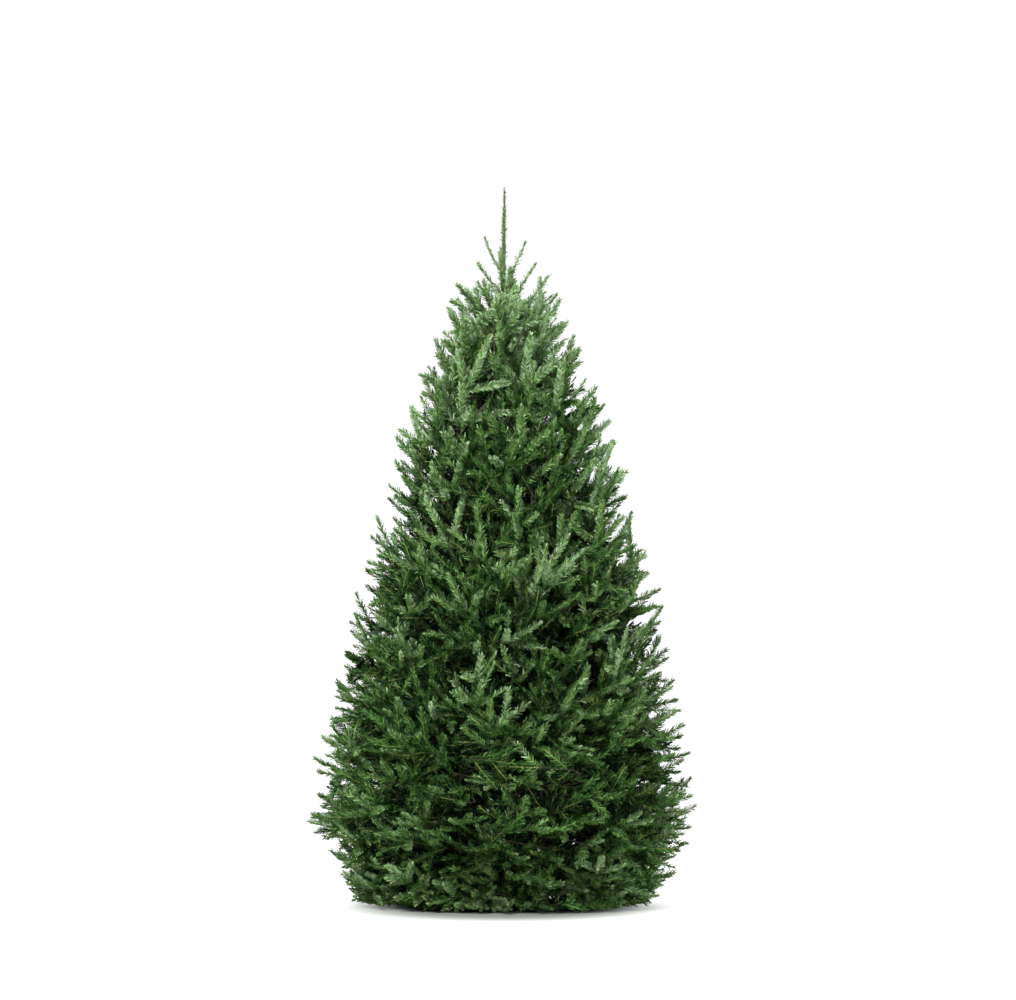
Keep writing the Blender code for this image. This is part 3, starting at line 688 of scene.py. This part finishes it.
def grow_fan(plant, tip, azimuth, layer, hub, slack, draw, coarse=1.0):
    """A fan of shoots, the leading one ending at the tip, on its own twig from the hub."""
    shoots, dense, long, wide = LAYERS[layer][3:]
    long, wide = mix(1.0, long, coarse), mix(1.0, wide, coarse)
    dense *= 1.0 + DENSER_UP * max(0.0, tip.z - DENSER_FROM)
    elevation = shoot_elevation(tip.z) + YOUNG_LIFT + draw.gauss(0.0, ELEVATION_SPREAD)
    heading = azimuth + draw.gauss(0.0, HEADING_SPREAD)
    direction = cylindrical(cos(elevation), heading, sin(elevation))
    outward = cylindrical(1.0, azimuth, 0.0)
    length = shoot_length(tip.z) * draw.uniform(*LENGTH_SPREAD)
    roll = draw.gauss(0.0, ROLL_SPREAD)
    side = UPRIGHT.cross(direction).normalized()
    side = side * cos(roll) + direction.cross(side) * sin(roll)
    up = direction.cross(side)
    if up.z < 0.0:
        up = -up
    tip.z = max(tip.z, LOWEST_TIP)
    within = min(0.0, slack) - NODE_INSIDE
    node = keep_inside(tip - direction * length, within)
    brush = draw.uniform(*BRUSH) + ROUNDER_UP * max(0.0, tip.z - ROUNDER_FROM)
    tint = choose_tint(up, outward, tip.z, layer, draw)
    kind = {"brush": brush, "dense": dense, "needle": long, "wide": wide}
    grow_shoot(plant, node, direction, up, length, tint, draw, slack, **kind)
    # Last year's length of the twig, which still has its needles
    older = node - direction * length * draw.uniform(*OLD_LENGTHS)
    older = keep_inside(older - up * 0.02 * draw.random(), within - OLD_INSIDE)
    # On all but the outer layer last year's growth takes the near-black 'inner' tint, a painted
    # shade.
    old_tint = "sage" if tip.z > OLD_SAGE_ABOVE else "mid" if layer == 0 else "inner"
    plant.shoot(older, (older + node) / 2, node, up, old_tint, brush, dense * OLD_DENSE, long, wide,
                bud=False)
    for i in range(draw.randint(*shoots)):
        hand = 1.0 if i % 2 else -1.0
        far = i >= 2
        spread = radians(draw.uniform(*SIDE_ANGLES))
        lift = draw.gauss(0.0, SIDE_LIFT)
        turned = direction * cos(spread) + side * hand * sin(spread) + up * lift
        turned.normalize()
        start = older.lerp(node, draw.uniform(*FAR_STARTS)) if far else node
        reach = length * draw.uniform(*(FAR_LENGTHS if far else NEAR_LENGTHS))
        same = draw.random() < SAME_TINT
        side_tint = tint if same else choose_tint(up, outward, tip.z, layer, draw)
        grow_shoot(plant, start, turned, up, reach, side_tint, draw, slack * 0.5, **kind)
    span = (older - hub).length
    elbow = hub + (older - hub) * 0.45 - direction * span * 0.10
    elbow = keep_inside(elbow.lerp(older - direction * span * 0.5, 0.4), within - ELBOW_INSIDE)
    plant.twigs.append(([hub, elbow, older, node], TWIG_FOOT, TWIG_END))
    # The lining shoot along the twig is near-black 'inner', a painted shade.
    if layer == 0 and tip.z < LINING_BELOW:
        plant.shoot(elbow, (elbow + older) / 2, older, up, "inner", *LINING_KIND, bud=False)


def evenly(number):
    """The number's place in an even spread over a square, each side from 0 to 1."""
    return (0.5 + number * 0.7548776662) % 1.0, (0.5 + number * 0.5698402910) % 1.0


def mass_area(tier):
    """About how much of the crown's surface one mass of a tier covers."""
    low, high = TIER_FACES[tier], TIER_FACES[tier + 1]
    rise = hypot(high[1] - low[1], high[0] - low[0])
    return pi * (low[0] + high[0]) / TIERS[tier][1] * rise


def grow_mass(plant, tier, number, middle, draw):
    """One mass: the stem goes on from its bough, forks into branches and ends in fans."""
    plant.mass = mass_name(tier, number)
    half_angle = pi / TIERS[tier][1]
    foot = bough_end(tier, middle)
    heart = mass_heart(tier, middle)
    hubs = []
    for row in range(BRANCH_ROWS):
        for column in range(BRANCH_COLUMNS):
            across = (column + 0.5) / BRANCH_COLUMNS * 2.0 - 1.0
            across += draw.uniform(-BRANCH_JITTER, BRANCH_JITTER)
            height = (row + 0.5) / BRANCH_ROWS + draw.uniform(-BRANCH_JITTER, BRANCH_JITTER)
            hub = place_in_tier(tier, middle + across * half_angle, BRANCH_DEPTH, height)
            fork = foot.lerp(heart, draw.uniform(*FORKS))
            elbow = fork.lerp(hub, 0.5) - UPRIGHT * BRANCH_SAG
            plant.twigs.append(([fork, elbow, hub], BRANCH_FOOT, TWIG_FOOT))
            hubs.append((across, height, elbow, hub))
    middle_z = (TIER_FACES[tier][1] + TIER_FACES[tier + 1][1]) / 2
    outer_fans = mass_area(tier) / (FAN_SPACING * shoot_length(middle_z)) ** 2
    outer_fans *= TIER_FANS[tier]
    serial = 0
    for layer, (_, _, share, *_) in enumerate(LAYERS):
        for _ in range(round(outer_fans * share)):
            across, height = evenly(serial)
            serial += 1
            across = 2.0 * across - 1.0 + draw.uniform(-FAN_JITTER, FAN_JITTER)
            height = clamp(height + draw.uniform(-FAN_JITTER, FAN_JITTER))
            _, _, elbow, hub = min(
                hubs, key=lambda h: (h[0] - across) ** 2 + (2 * (h[1] - height)) ** 2)
            start = elbow.lerp(hub, draw.uniform(*TWIG_STARTS))
            azimuth = middle + across * half_angle
            grow_in_layer(plant, tier, azimuth, height, layer, start, draw)
    if tier == 0:
        for i in range(UNDER_FANS):
            azimuth = middle + (2.0 * evenly(i)[0] - 1.0) * half_angle
            z = draw.uniform(*UNDER_HEIGHTS)
            radius = crown_radius(z, azimuth) * mix(*UNDER_REACH, evenly(i)[1])
            hub = min(hubs, key=lambda h: abs(h[0] - (azimuth - middle) / half_angle))[-1]
            grow_fan(plant, cylindrical(radius, azimuth, z), azimuth, 0, hub, 0.0, draw)


def grow_heart(plant, draw):
    """Short shaded shoots between the boughs, straight from the trunk; the low ones' 'deep' tint is
    a painted shade.
    """
    for i in range(HEART_SHOOTS):
        z = mix(*HEART_HEIGHTS, (i + draw.random()) / HEART_SHOOTS)
        tier = max(t for t in range(len(TIERS)) if face_height(t, 0.1) < z)
        azimuth = i * GOLDEN_ANGLE
        count = TIERS[tier][1]
        number = round((azimuth - tier_azimuth(tier, 0)) * count / (2.0 * pi)) % count
        plant.mass = mass_name(tier, number)
        elevation = shoot_elevation(z) + draw.gauss(0.0, HEART_SPREAD)
        direction = cylindrical(cos(elevation), azimuth, sin(elevation))
        up = direction.cross(UPRIGHT.cross(direction).normalized())
        base = trunk_axis(z) + cylindrical(trunk_radius(z) * 0.9, azimuth, 0.0)
        wider = 1.0 + HEART_WIDER * max(0.0, HEART_WIDER_BELOW - z)
        length = draw.uniform(*HEART_LENGTHS) * wider
        tint, dense, wide = HEART_LOW if z < INNER_BELOW else HEART_HIGH
        grow_shoot(plant, base, direction, up, length, tint, draw, HEART_SLACK, brush=0.8,
                   dense=dense, needle=1.15, wide=wide)


def grow_shaded(plant, draw):
    """Thinly needled shoots off the low boughs, which close the seams between the tiers; their
    near-black 'inner' tint paints the shade there.
    """
    for tier, number, azimuth in every_mass(SHADED_TIERS):
        plant.mass = mass_name(tier, number)
        end, heart = bough_end(tier, azimuth), mass_heart(tier, azimuth)
        for _ in range(SHADED_SHOOTS):
            base = end.lerp(heart, draw.random())
            turn = azimuth + draw.uniform(-SHADED_TURN, SHADED_TURN)
            elevation = draw.uniform(*SHADED_RISE)
            direction = cylindrical(cos(elevation), turn, sin(elevation))
            up = direction.cross(UPRIGHT.cross(direction)).normalized()
            length = draw.uniform(*SHADED_LENGTHS)
            grow_shoot(plant, base, direction, up, length, "inner", draw, SHADED_SLACK,
                       **SHADED_KIND)


def grow_top(plant, draw):
    """The steep shoots round the leader's foot, and the leader's own needles."""
    plant.mass = "foliage_leader"
    for azimuth, radius, tip_z, start_z, dense, needle in WHORL:
        turn = radians(azimuth)
        start = trunk_axis(start_z)
        tip = trunk_axis(tip_z) + cylindrical(radius, turn, 0.0)
        along = (tip - start).normalized()
        up = along.cross(UPRIGHT.cross(along).normalized())
        bend = (start + tip) / 2 + cylindrical(0.006, turn, -0.004)
        outer = "sage" if draw.random() < WHORL_SAGE else "silver"
        for tint, (thick, long, wide) in zip((outer, "fresh"), WHORL_COATS):
            plant.shoot(start, bend, tip, up, tint, WHORL_BRUSH, dense * thick, needle * long,
                        wide, bud=tint == outer)
    low, high = (trunk_axis(z) for z in LEADER_NEEDLED)
    middle = trunk_axis(mix(*LEADER_NEEDLED, 0.5))
    front = Vector((0.0, -1.0, 0.0))
    for tint, dense, needle, wide, girth in LEADER_COATS:
        plant.shoot(low, middle, high, front, tint, 1.0, dense, needle, wide, girth, bud=False)
    tip = trunk_axis(TREE_HEIGHT)
    plant.shoot(high, (high + tip) / 2, tip, front, *LEADER_TIP)


# ---- needles

def unit(rows):
    return rows / np.maximum(np.linalg.norm(rows, axis=1, keepdims=True), 1e-9)


def needles_on(shoots, per_metre, rng):
    """Every needle of these shoots: (vertices, triangles, tint of each triangle)."""
    columns = list(zip(*shoots))
    base, bend, tip, up = (np.array([point[:] for point in column]) for column in columns[:4])
    tint, brush, dense, scale, wide, girth = (np.array(column) for column in columns[4:])
    length = np.linalg.norm(tip - base, axis=1)
    counts = np.maximum(4, np.round(length * per_metre * dense)).astype(int)
    owner = np.repeat(np.arange(len(shoots)), counts)
    place = np.arange(len(owner)) - np.repeat(np.cumsum(counts) - counts, counts)
    total = len(owner)
    t = (place + rng.uniform(0.1, 0.9, total)) / counts[owner]
    t1 = t[:, None]
    a, c, b = base[owner], bend[owner], tip[owner]
    at = bezier(a, c, b, t)
    forward = unit((c - a) * (1 - t1) + (b - c) * t1)
    side = unit(np.cross(forward, up[owner]))
    top = np.cross(side, forward)
    # Needles leave the stem all round it, and most then turn to the two sides
    dealt = place * GOLDEN_ANGLE + rng.normal(0.0, 0.35, total) + pi
    dealt = dealt % (2 * pi) - pi
    loose = brush[owner]
    nearest = np.radians(mix(*NEEDLE_NEAREST, loose))
    furthest = np.radians(mix(*NEEDLE_FURTHEST, loose))
    around = np.sign(dealt) * (nearest + (furthest - nearest) * np.abs(dealt) / pi)
    radial = np.cos(around)[:, None] * top + np.sin(around)[:, None] * side
    lean = mix(*NEEDLE_LEAN, t) + BRUSH_LEAN * np.maximum(0.0, loose - 0.6)
    lean = np.radians(lean - END_LEAN * np.clip((t - 0.90) / 0.10, 0, 1))
    lean += rng.normal(0.0, 0.07, total)
    point = np.cos(lean)[:, None] * forward + np.sin(lean)[:, None] * radial
    point = unit(point + NEEDLE_RISE * top)
    # They are longest in the middle of the shoot
    long = NEEDLE_LENGTH * scale[owner] * (0.72 + 0.28 * (1 - np.abs(2 * t - 1) ** 2.5))
    long = (long * rng.uniform(*NEEDLE_SIZES, total))[:, None]
    flat = unit(0.45 * top + 0.75 * radial + rng.normal(0.0, 0.32, (total, 3)))
    across = unit(np.cross(point, flat))
    face = np.cross(across, point)
    half = (NEEDLE_WIDTH / 2) * wide[owner][:, None]
    start = at + radial * girth[owner][:, None] * 0.7
    end = start + point * long + face * long * rng.uniform(*NEEDLE_CURL, total)[:, None]
    corners = np.stack([
        start - across * half * 0.80,
        start + across * half * 0.80,
        end + across * half * 0.85,
        end - across * half * 0.65 + point * half * 0.5,
    ], axis=1)
    corners[..., 2] = np.maximum(corners[..., 2], FLOOR_GAP)
    first = np.arange(total)[:, None] * 4
    tris = np.concatenate([first + [[0, 1, 2]], first + [[0, 2, 3]]], axis=1).reshape(-1, 3)
    shift = rng.choice((-1, 0, 1), total, p=TINT_SHIFT)
    # Needles on a shoot's underside and near its foot are a tint darker: painted shade.
    shift += np.abs(around) > UNDERSIDE_SHADE
    shift += t < rng.uniform(0.0, FOOT_SHADE_SHARE, total)
    tints = np.clip(tint[owner] + shift, 0, len(TINTS) - 1)
    return corners.reshape(-1, 3), tris, np.repeat(tints, 2)


def batches(names, sizes, limit):
    """Names in order, parted so that no part's sizes add up to more than the limit."""
    part, load = [], 0
    for name in names:
        if part and load + sizes[name] > limit:
            yield part
            part, load = [], 0
        part.append(name)
        load += sizes[name]
    yield part


# ---- the tree's pieces

def make_needles(plant, mats, rng):
    """The needles, tier by tier, each piece standing for the masses that it dresses."""
    lengths = {
        mass: sum((tip - base).length * dense for base, _, tip, _, _, _, dense, *_ in shoots)
        for mass, shoots in plant.shoots.items()
    }
    per_metre = NEEDLE_BUDGET / sum(lengths.values())
    sizes = {mass: 2 * per_metre * length for mass, length in lengths.items()}
    for i, part in enumerate(batches(list(plant.shoots), sizes, PIECE_LIMIT)):
        shoots = [shoot for mass in part for shoot in plant.shoots[mass]]
        verts, tris, tints = needles_on(shoots, per_metre, rng)
        make_piece(f"needles_{i + 1}", [(verts, tris)], mats, part, tints)


def spindles(feet, waists, tips, radius, sides):
    """Many closed spindles, each a ring of points between a foot and a tip, as one part."""
    along = unit(tips - feet)
    side = unit(np.cross(along, (0.3, 0.2, 1.0)))
    up = np.cross(side, along)
    ring = [waists + (side * cos(turn) + up * sin(turn)) * radius
            for turn in np.arange(sides) * 2.0 * pi / sides]
    verts = np.stack([feet, *ring, tips], axis=1)
    verts[..., 2] = np.maximum(verts[..., 2], FLOOR_GAP)
    faces = []
    for near in range(1, sides + 1):
        far = near % sides + 1
        faces += [(0, near, far), (sides + 1, far, near)]
    tris = np.arange(len(feet))[:, None, None] * (sides + 2) + np.array(faces)
    return verts.reshape(-1, 3), tris.reshape(-1, 3)


def make_wood(plant, shoot_bark, twig_bark, bud_scales):
    """The stems along the shoots, of few faces deep inside, the twigs, and the buds."""
    masses = list(plant.shoots)
    parts = []
    radii = (SHOOT_RADIUS, SHOOT_RADIUS * 0.85, SHOOT_RADIUS * 0.6)
    for stem in plant.stems:
        base, bend, tip = (np.array(point) for point in stem)
        parts.append(tube_arrays(bezier(base, bend, tip, (0.0, 0.5, 1.0)), radii, 3))
    feet, bends, tips = (np.array([stem[i][:] for stem in plant.thin_stems]) for i in range(3))
    parts.append(spindles(feet, (feet + 2.0 * bends + tips) / 4.0, tips, SHOOT_RADIUS * 0.8, 3))
    make_piece("shoot_stems", parts, [shoot_bark], masses)
    parts = []
    for points, foot, end in plant.twigs:
        line = smooth_line(points, 2)
        parts.append(tube_arrays(line, np.linspace(foot, end, len(line)), 3))
    make_piece("twigs", parts, [twig_bark], masses)
    tips, along = (np.array([bud[i][:] for bud in plant.buds]) for i in range(2))
    along = unit(along) * BUD_LENGTH
    part = spindles(tips - along * 0.25, tips + along * 0.25, tips + along * 0.75, BUD_RADIUS, 4)
    make_piece("buds", [part], [bud_scales], masses)


def bark_relief(amount, scale, swellings=()):
    """Plates and cracks of bark, and swellings given as (height, how far)."""
    def relief(points, spokes, reach):
        out = np.empty(reach.shape)
        for i, point in enumerate(points):
            swell = sum(s * exp(-((point[2] - z) / SWELL_REACH) ** 2) for z, s in swellings)
            for j in range(reach.shape[1]):
                at = point + spokes[i, j] * reach[i, j]
                where = Vector((at[0] * scale, at[1] * scale, at[2] * scale * BARK_STRETCH))
                plate = noise.fractal(where, 0.9, 2.1, 4)
                crack = abs(noise.noise(where * 1.7))
                out[i, j] = amount * (0.7 * plate - 0.8 * exp(-crack * 9.0)) + swell
        return out
    return relief


def make_trunk(trunk_bark, leader_bark):
    """The trunk, whole from its cut foot in the basin, and the leader that goes on from it."""
    swellings = []
    for tier, (_, count, *_) in enumerate(TIERS):
        roots = [bough_root(tier, number) for number in range(count)]
        swellings.append((sum(roots) / count, 0.0028 - 0.0004 * tier))
    relief = bark_relief(0.0016, 62.0, swellings)

    def fading(points, spokes, reach):
        return relief(points, spokes, reach) * (0.35 + 0.65 * reach / TRUNK_FOOT_RADIUS)

    heights = np.linspace(BASIN_FLOOR + 0.0003, TRUNK_TOP_Z, TRUNK_RINGS)
    radii = [trunk_radius(z) for z in heights]
    part = tube_arrays([trunk_axis(z) for z in heights], radii, TRUNK_SIDES, fading)
    make_piece("trunk_bark", [part], [trunk_bark], ["trunk"])
    heights = np.linspace(TRUNK_TOP_Z - 0.004, TREE_HEIGHT - 0.006, LEADER_RINGS)
    shares = (heights - heights[0]) / LEADER_LENGTH
    radii = mix(TRUNK_TOP_RADIUS * 0.93, LEADER_TIP_RADIUS, shares)
    part = tube_arrays([trunk_axis(z) for z in heights], radii, 10, bark_relief(0.0004, 150.0))
    make_piece("leader_stem", [part], [leader_bark], ["foliage_leader"])


def make_boughs(mat):
    """Each bough and the stem that goes on from it into its mass, as one tapering limb."""
    parts, nodes = [], []
    relief = bark_relief(0.0009, 120.0)
    for tier, number, azimuth in every_mass():
        end = bough_end(tier, azimuth)
        root_z = bough_root(tier, number)
        axis = trunk_axis(root_z)
        outward = cylindrical(1.0, azimuth, 0.0)
        skin = trunk_radius(root_z)
        inside = axis + outward * skin * 0.55
        collar = axis + outward * (skin + 0.006)
        middle = collar.lerp(end, 0.5) - UPRIGHT * BOUGH_SAG
        on = end + (end - middle).normalized() * 0.03
        line = smooth_line([inside, collar, middle, end, on, mass_heart(tier, azimuth)], 6)
        share = np.linspace(0.0, 1.0, len(line))
        radii = BOUGH_ROOT_RADIUS - BOUGH_THINNING * tier
        radii = radii * (1.0 - (1.0 - BOUGH_TAPER * 0.75) * share)
        radii[:8] *= 1.0 + 0.35 * np.linspace(1.0, 0.0, 8) ** 2
        parts.append(tube_arrays(line, radii, 14, relief))
        nodes += [f"bough_{TIERS[tier][0]}_{number + 1}", mass_name(tier, number)]
    make_piece("boughs_bark", parts, [mat], nodes)


# ---- the stand's pieces

def add_crisp_piece(bm, name, mat, replaced):
    """The shape as a piece, smooth but for the edges that stay crisp."""
    for face in bm.faces:
        face.smooth = True
    bm.normal_update()
    for edge in bm.edges:
        if len(edge.link_faces) == 2 and edge.calc_face_angle() > CRISP_ANGLE:
            edge.smooth = False
    mesh = bpy.data.meshes.new(name)
    bm.to_mesh(mesh)
    bm.free()
    mesh.materials.append(mat)
    add_piece(name, mesh, replaced)


def add_turned(name, profile, steps, mat, replaced, place=Matrix()):
    """A closed profile in the XZ plane, turned round Z and then moved to its place."""
    bm = bmesh.new()
    for radius, z in profile:
        bm.verts.new((radius, 0.0, z))
    bm.verts.ensure_lookup_table()
    for a, b in zip(bm.verts[:], bm.verts[1:]):
        bm.edges.new((a, b))
    bmesh.ops.spin(bm, geom=bm.verts[:] + bm.edges[:], cent=(0, 0, 0), axis=(0, 0, 1),
                   angle=2.0 * pi, steps=steps, use_merge=True)
    bmesh.ops.remove_doubles(bm, verts=bm.verts, dist=1e-6)
    bmesh.ops.recalc_face_normals(bm, faces=bm.faces)
    bm.transform(place)
    add_crisp_piece(bm, name, mat, replaced)


def rolled(centre_r, centre_z, radius, start, end, steps):
    """Points of an arc in a profile, by angle in degrees."""
    return [
        (centre_r + radius * cos(a), centre_z + radius * sin(a))
        for a in (radians(mix(start, end, i / steps)) for i in range(steps + 1))
    ]


def basin_radius(z):
    return mix(BASIN_FOOT_RADIUS, BASIN_RIM_RADIUS, z / BASIN_HEIGHT)


def make_stand(enamel, zinc):
    """The water basin with its rolled rim, four bent legs and four clamping screws."""
    wall, corner, rim = BASIN_WALL, 0.008, 0.0039
    foot = basin_radius(BASIN_FLOOR) - wall - corner
    profile = [(0.0, BASIN_FLOOR), (foot, BASIN_FLOOR)]
    profile += rolled(foot, BASIN_FLOOR + corner, corner, -90.0, -5.0, 5)
    profile += [(basin_radius(z) - wall, z) for z in (0.05, 0.10, 0.1425)]
    profile += rolled(BASIN_RIM_RADIUS + 0.0011, BASIN_HEIGHT - rim, rim, 170.0, -110.0, 14)
    profile += [(basin_radius(z), z) for z in (0.1385, 0.10, 0.05, 0.012)]
    profile += rolled(BASIN_FOOT_RADIUS - 0.005, 0.005, 0.005, 10.0, -90.0, 6)
    profile += [(0.0, 0.0)]
    add_turned("basin", profile, 96, enamel, ["stand_basin"])
    for number in range(LEGS):
        make_leg(number, enamel)
        make_screw(number, zinc)


def leg_line():
    """The middle of a leg's strap, as radius and height: flange, sloping shank and foot."""
    off = LEG_CLEARANCE + LEG_THICKNESS / 2
    bend_z = LEG_TOP_Z - LEG_FLANGE
    top, bend, heel, toe = (Vector(at) for at in (
        (basin_radius(LEG_TOP_Z) + off, LEG_TOP_Z),
        (basin_radius(bend_z) + off, bend_z),
        (LEG_REACH - FOOT_LENGTH, LEG_THICKNESS / 2),
        (LEG_REACH, LEG_THICKNESS / 2),
    ))
    line = [top]
    for before, at, after in ((top, bend, heel), (bend, heel, toe)):
        start = at - (at - before).normalized() * LEG_BEND
        stop = at + (after - at).normalized() * LEG_BEND
        for i in range(7):
            t = i / 6
            line.append(start * (1 - t) ** 2 + at * 2 * t * (1 - t) + stop * t * t)
    return line + [toe]


def make_leg(number, mat):
    """A bent flat strap with rounded edges."""
    line = leg_line()
    bm = bmesh.new()
    rows = []
    for i, (radius, z) in enumerate(line):
        along = (line[min(i + 1, len(line) - 1)] - line[max(i - 1, 0)]).normalized()
        across = Vector((along.y, -along.x)) * LEG_THICKNESS / 2
        width = LEG_WIDTH / 2
        rows.append([
            bm.verts.new((radius + s * across.x, y, max(0.0, z + s * across.y)))
            for s, y in ((-1, -width), (1, -width), (1, width), (-1, width))
        ])
    for low, high in zip(rows, rows[1:]):
        for k in range(4):
            bm.faces.new((low[k], low[(k + 1) % 4], high[(k + 1) % 4], high[k]))
    bm.faces.new(rows[0])
    bm.faces.new(rows[-1][::-1])
    bmesh.ops.recalc_face_normals(bm, faces=bm.faces)
    sharp = [e for e in bm.edges if e.calc_face_angle() > BEVEL_ANGLE]
    bmesh.ops.bevel(bm, geom=sharp, offset=0.0009, segments=2, profile=0.6, affect="EDGES")
    bm.transform(Matrix.Rotation(number * 2.0 * pi / LEGS, 4, "Z"))
    name = f"leg_{number + 1}"
    add_crisp_piece(bm, name, mat, [f"stand_{name}"])


def make_screw(number, mat):
    """A clamping screw: rounded point, rolled thread and a rounded knob."""
    azimuth = radians(45.0) + number * 2.0 * pi / LEGS
    outward = cylindrical(1.0, azimuth, 0.0)
    point = trunk_radius(SCREW_Z) - 0.0006
    knob = basin_radius(SCREW_Z) + SCREW_PROUD
    profile = [(0.0, point), (SCREW_RADIUS * 0.45, point + 0.0004)]
    profile += [(SCREW_RADIUS * 0.62, point + 0.0016)]
    z = point + SCREW_RADIUS
    while z < knob - 0.006:
        profile += [(SCREW_CORE, z), (SCREW_RADIUS, z + SCREW_PITCH / 2)]
        z += SCREW_PITCH
    profile += [(SCREW_CORE, knob - 0.004), (SCREW_CORE, knob)]
    rim, top = SCREW_KNOB_RADIUS - KNOB_ROLL, knob + SCREW_KNOB_LENGTH
    profile += [(rim, knob)] + rolled(rim, knob + KNOB_ROLL, KNOB_ROLL, -90.0, 0.0, 4)
    profile += rolled(rim, top - KNOB_ROLL, KNOB_ROLL, 0.0, 90.0, 4) + [(0.0, top)]
    turn = outward.to_track_quat("Z", "Y").to_matrix().to_4x4()
    place = Matrix.Translation((0.0, 0.0, SCREW_Z)) @ turn
    name = f"screw_{number + 1}"
    add_turned(name, profile, 24, mat, [f"stand_{name}"], place)


# ---- stage, light and camera

def make_floor():
    """A round floor with a painted shadow under the tree: its own colour is dark, and an emission
    glow rising outwards paints it white, so that it ends in the white behind it.
    """
    mesh = bpy.data.meshes.new("floor")
    turns = [i * 2.0 * pi / FLOOR_SIDES for i in range(FLOOR_SIDES)]
    rim = [cylindrical(FLOOR_REACH, turn, 0.0) for turn in turns]
    mesh.from_pydata(rim, [], [range(FLOOR_SIDES)])
    looks = {"Specular IOR Level": 0.1, "Emission Color": WHITE}
    # Its base colour is the painted shadow; the emission glow further out is painted light that
    # whitens it.
    mat, tree, shader = new_material("floor_painted_shadow", FLOOR_SHADOW_COLOUR, 0.9, looks)
    place = tree.nodes.new("ShaderNodeTexCoord").outputs["Object"]
    narrow = add_node(tree, "VectorMath", {0: place, 1: (FLOOR_NARROW, 1.0, 1.0)},
                      operation="MULTIPLY")
    reach = add_node(tree, "VectorMath", {0: narrow.outputs["Vector"], 1: FLOOR_SHADOW_POOL},
                     operation="DISTANCE")
    begins, full, strength = FLOOR_GLOW
    inputs = {"Value": reach.outputs["Value"], "From Min": begins, "From Max": full,
              "To Max": strength}
    glow = add_node(tree, "MapRange", inputs, interpolation_type="SMOOTHERSTEP")
    set_inputs(tree, shader, {"Emission Strength": glow.outputs["Result"]})
    mesh.materials.append(mat)
    floor = add_object("floor", mesh)


def light_scene():
    world = bpy.data.worlds.new("studio")
    world.use_nodes = True
    tree = world.node_tree
    seen = tree.nodes.new("ShaderNodeLightPath").outputs["Is Camera Ray"]
    strength = map_range(tree, seen, WORLD_LIGHT, WORLD_SEEN)
    set_inputs(tree, tree.nodes["Background"], {"Color": WHITE, "Strength": strength})
    bpy.context.scene.world = world
    for name, place, target, size, watts in LIGHTS:
        lamp = bpy.data.lights.new(name, "AREA")
        lamp.shape = "DISK"
        lamp.size = size
        lamp.energy = watts
        obj = add_object(name, lamp)
        obj.location = place
        aim = Vector(target) - Vector(place)
        obj.rotation_euler = aim.to_track_quat("-Z", "Y").to_euler()
    bpy.context.scene.view_settings.view_transform = "Standard"


def place_camera():
    data = bpy.data.cameras.new("camera")
    data.sensor_width = 36.0
    data.lens = 36.0 * CAMERA_DISTANCE / (IMAGE_WIDTH * METRES_PER_PIXEL)
    data.clip_end = 200.0
    camera = add_object("camera", data)
    camera.location = (CAMERA_X, -CAMERA_DISTANCE, CAMERA_HEIGHT)
    camera.rotation_euler = (pi / 2, 0.0, 0.0)
    bpy.context.scene.camera = camera


def main():
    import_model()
    draw = random.Random(SEED)
    rng = np.random.default_rng(SEED)
    plant = Plant()
    for tier, number, azimuth in every_mass():
        grow_mass(plant, tier, number, azimuth, draw)
    grow_heart(plant, draw)
    grow_top(plant, draw)
    grow_shaded(plant, draw)
    twig_bark = bark_material("twig_bark_grown", *TWIG_BARK)
    tints = [needle_material(f"needles_{tint}", *NEEDLE_TINTS[tint]) for tint in TINTS]
    make_needles(plant, tints, rng)
    make_wood(plant, bark_material("shoot_bark", *SHOOT_BARK), twig_bark,
              bark_material("bud_scales", *BUD_SCALES))
    make_trunk(bark_material("trunk_bark_grown", *TRUNK_BARK),
               bark_material("leader_bark", *LEADER_BARK))
    make_boughs(twig_bark)
    make_stand(painted_steel(), zinc_steel())
    make_floor()
    light_scene()
    place_camera()


main()
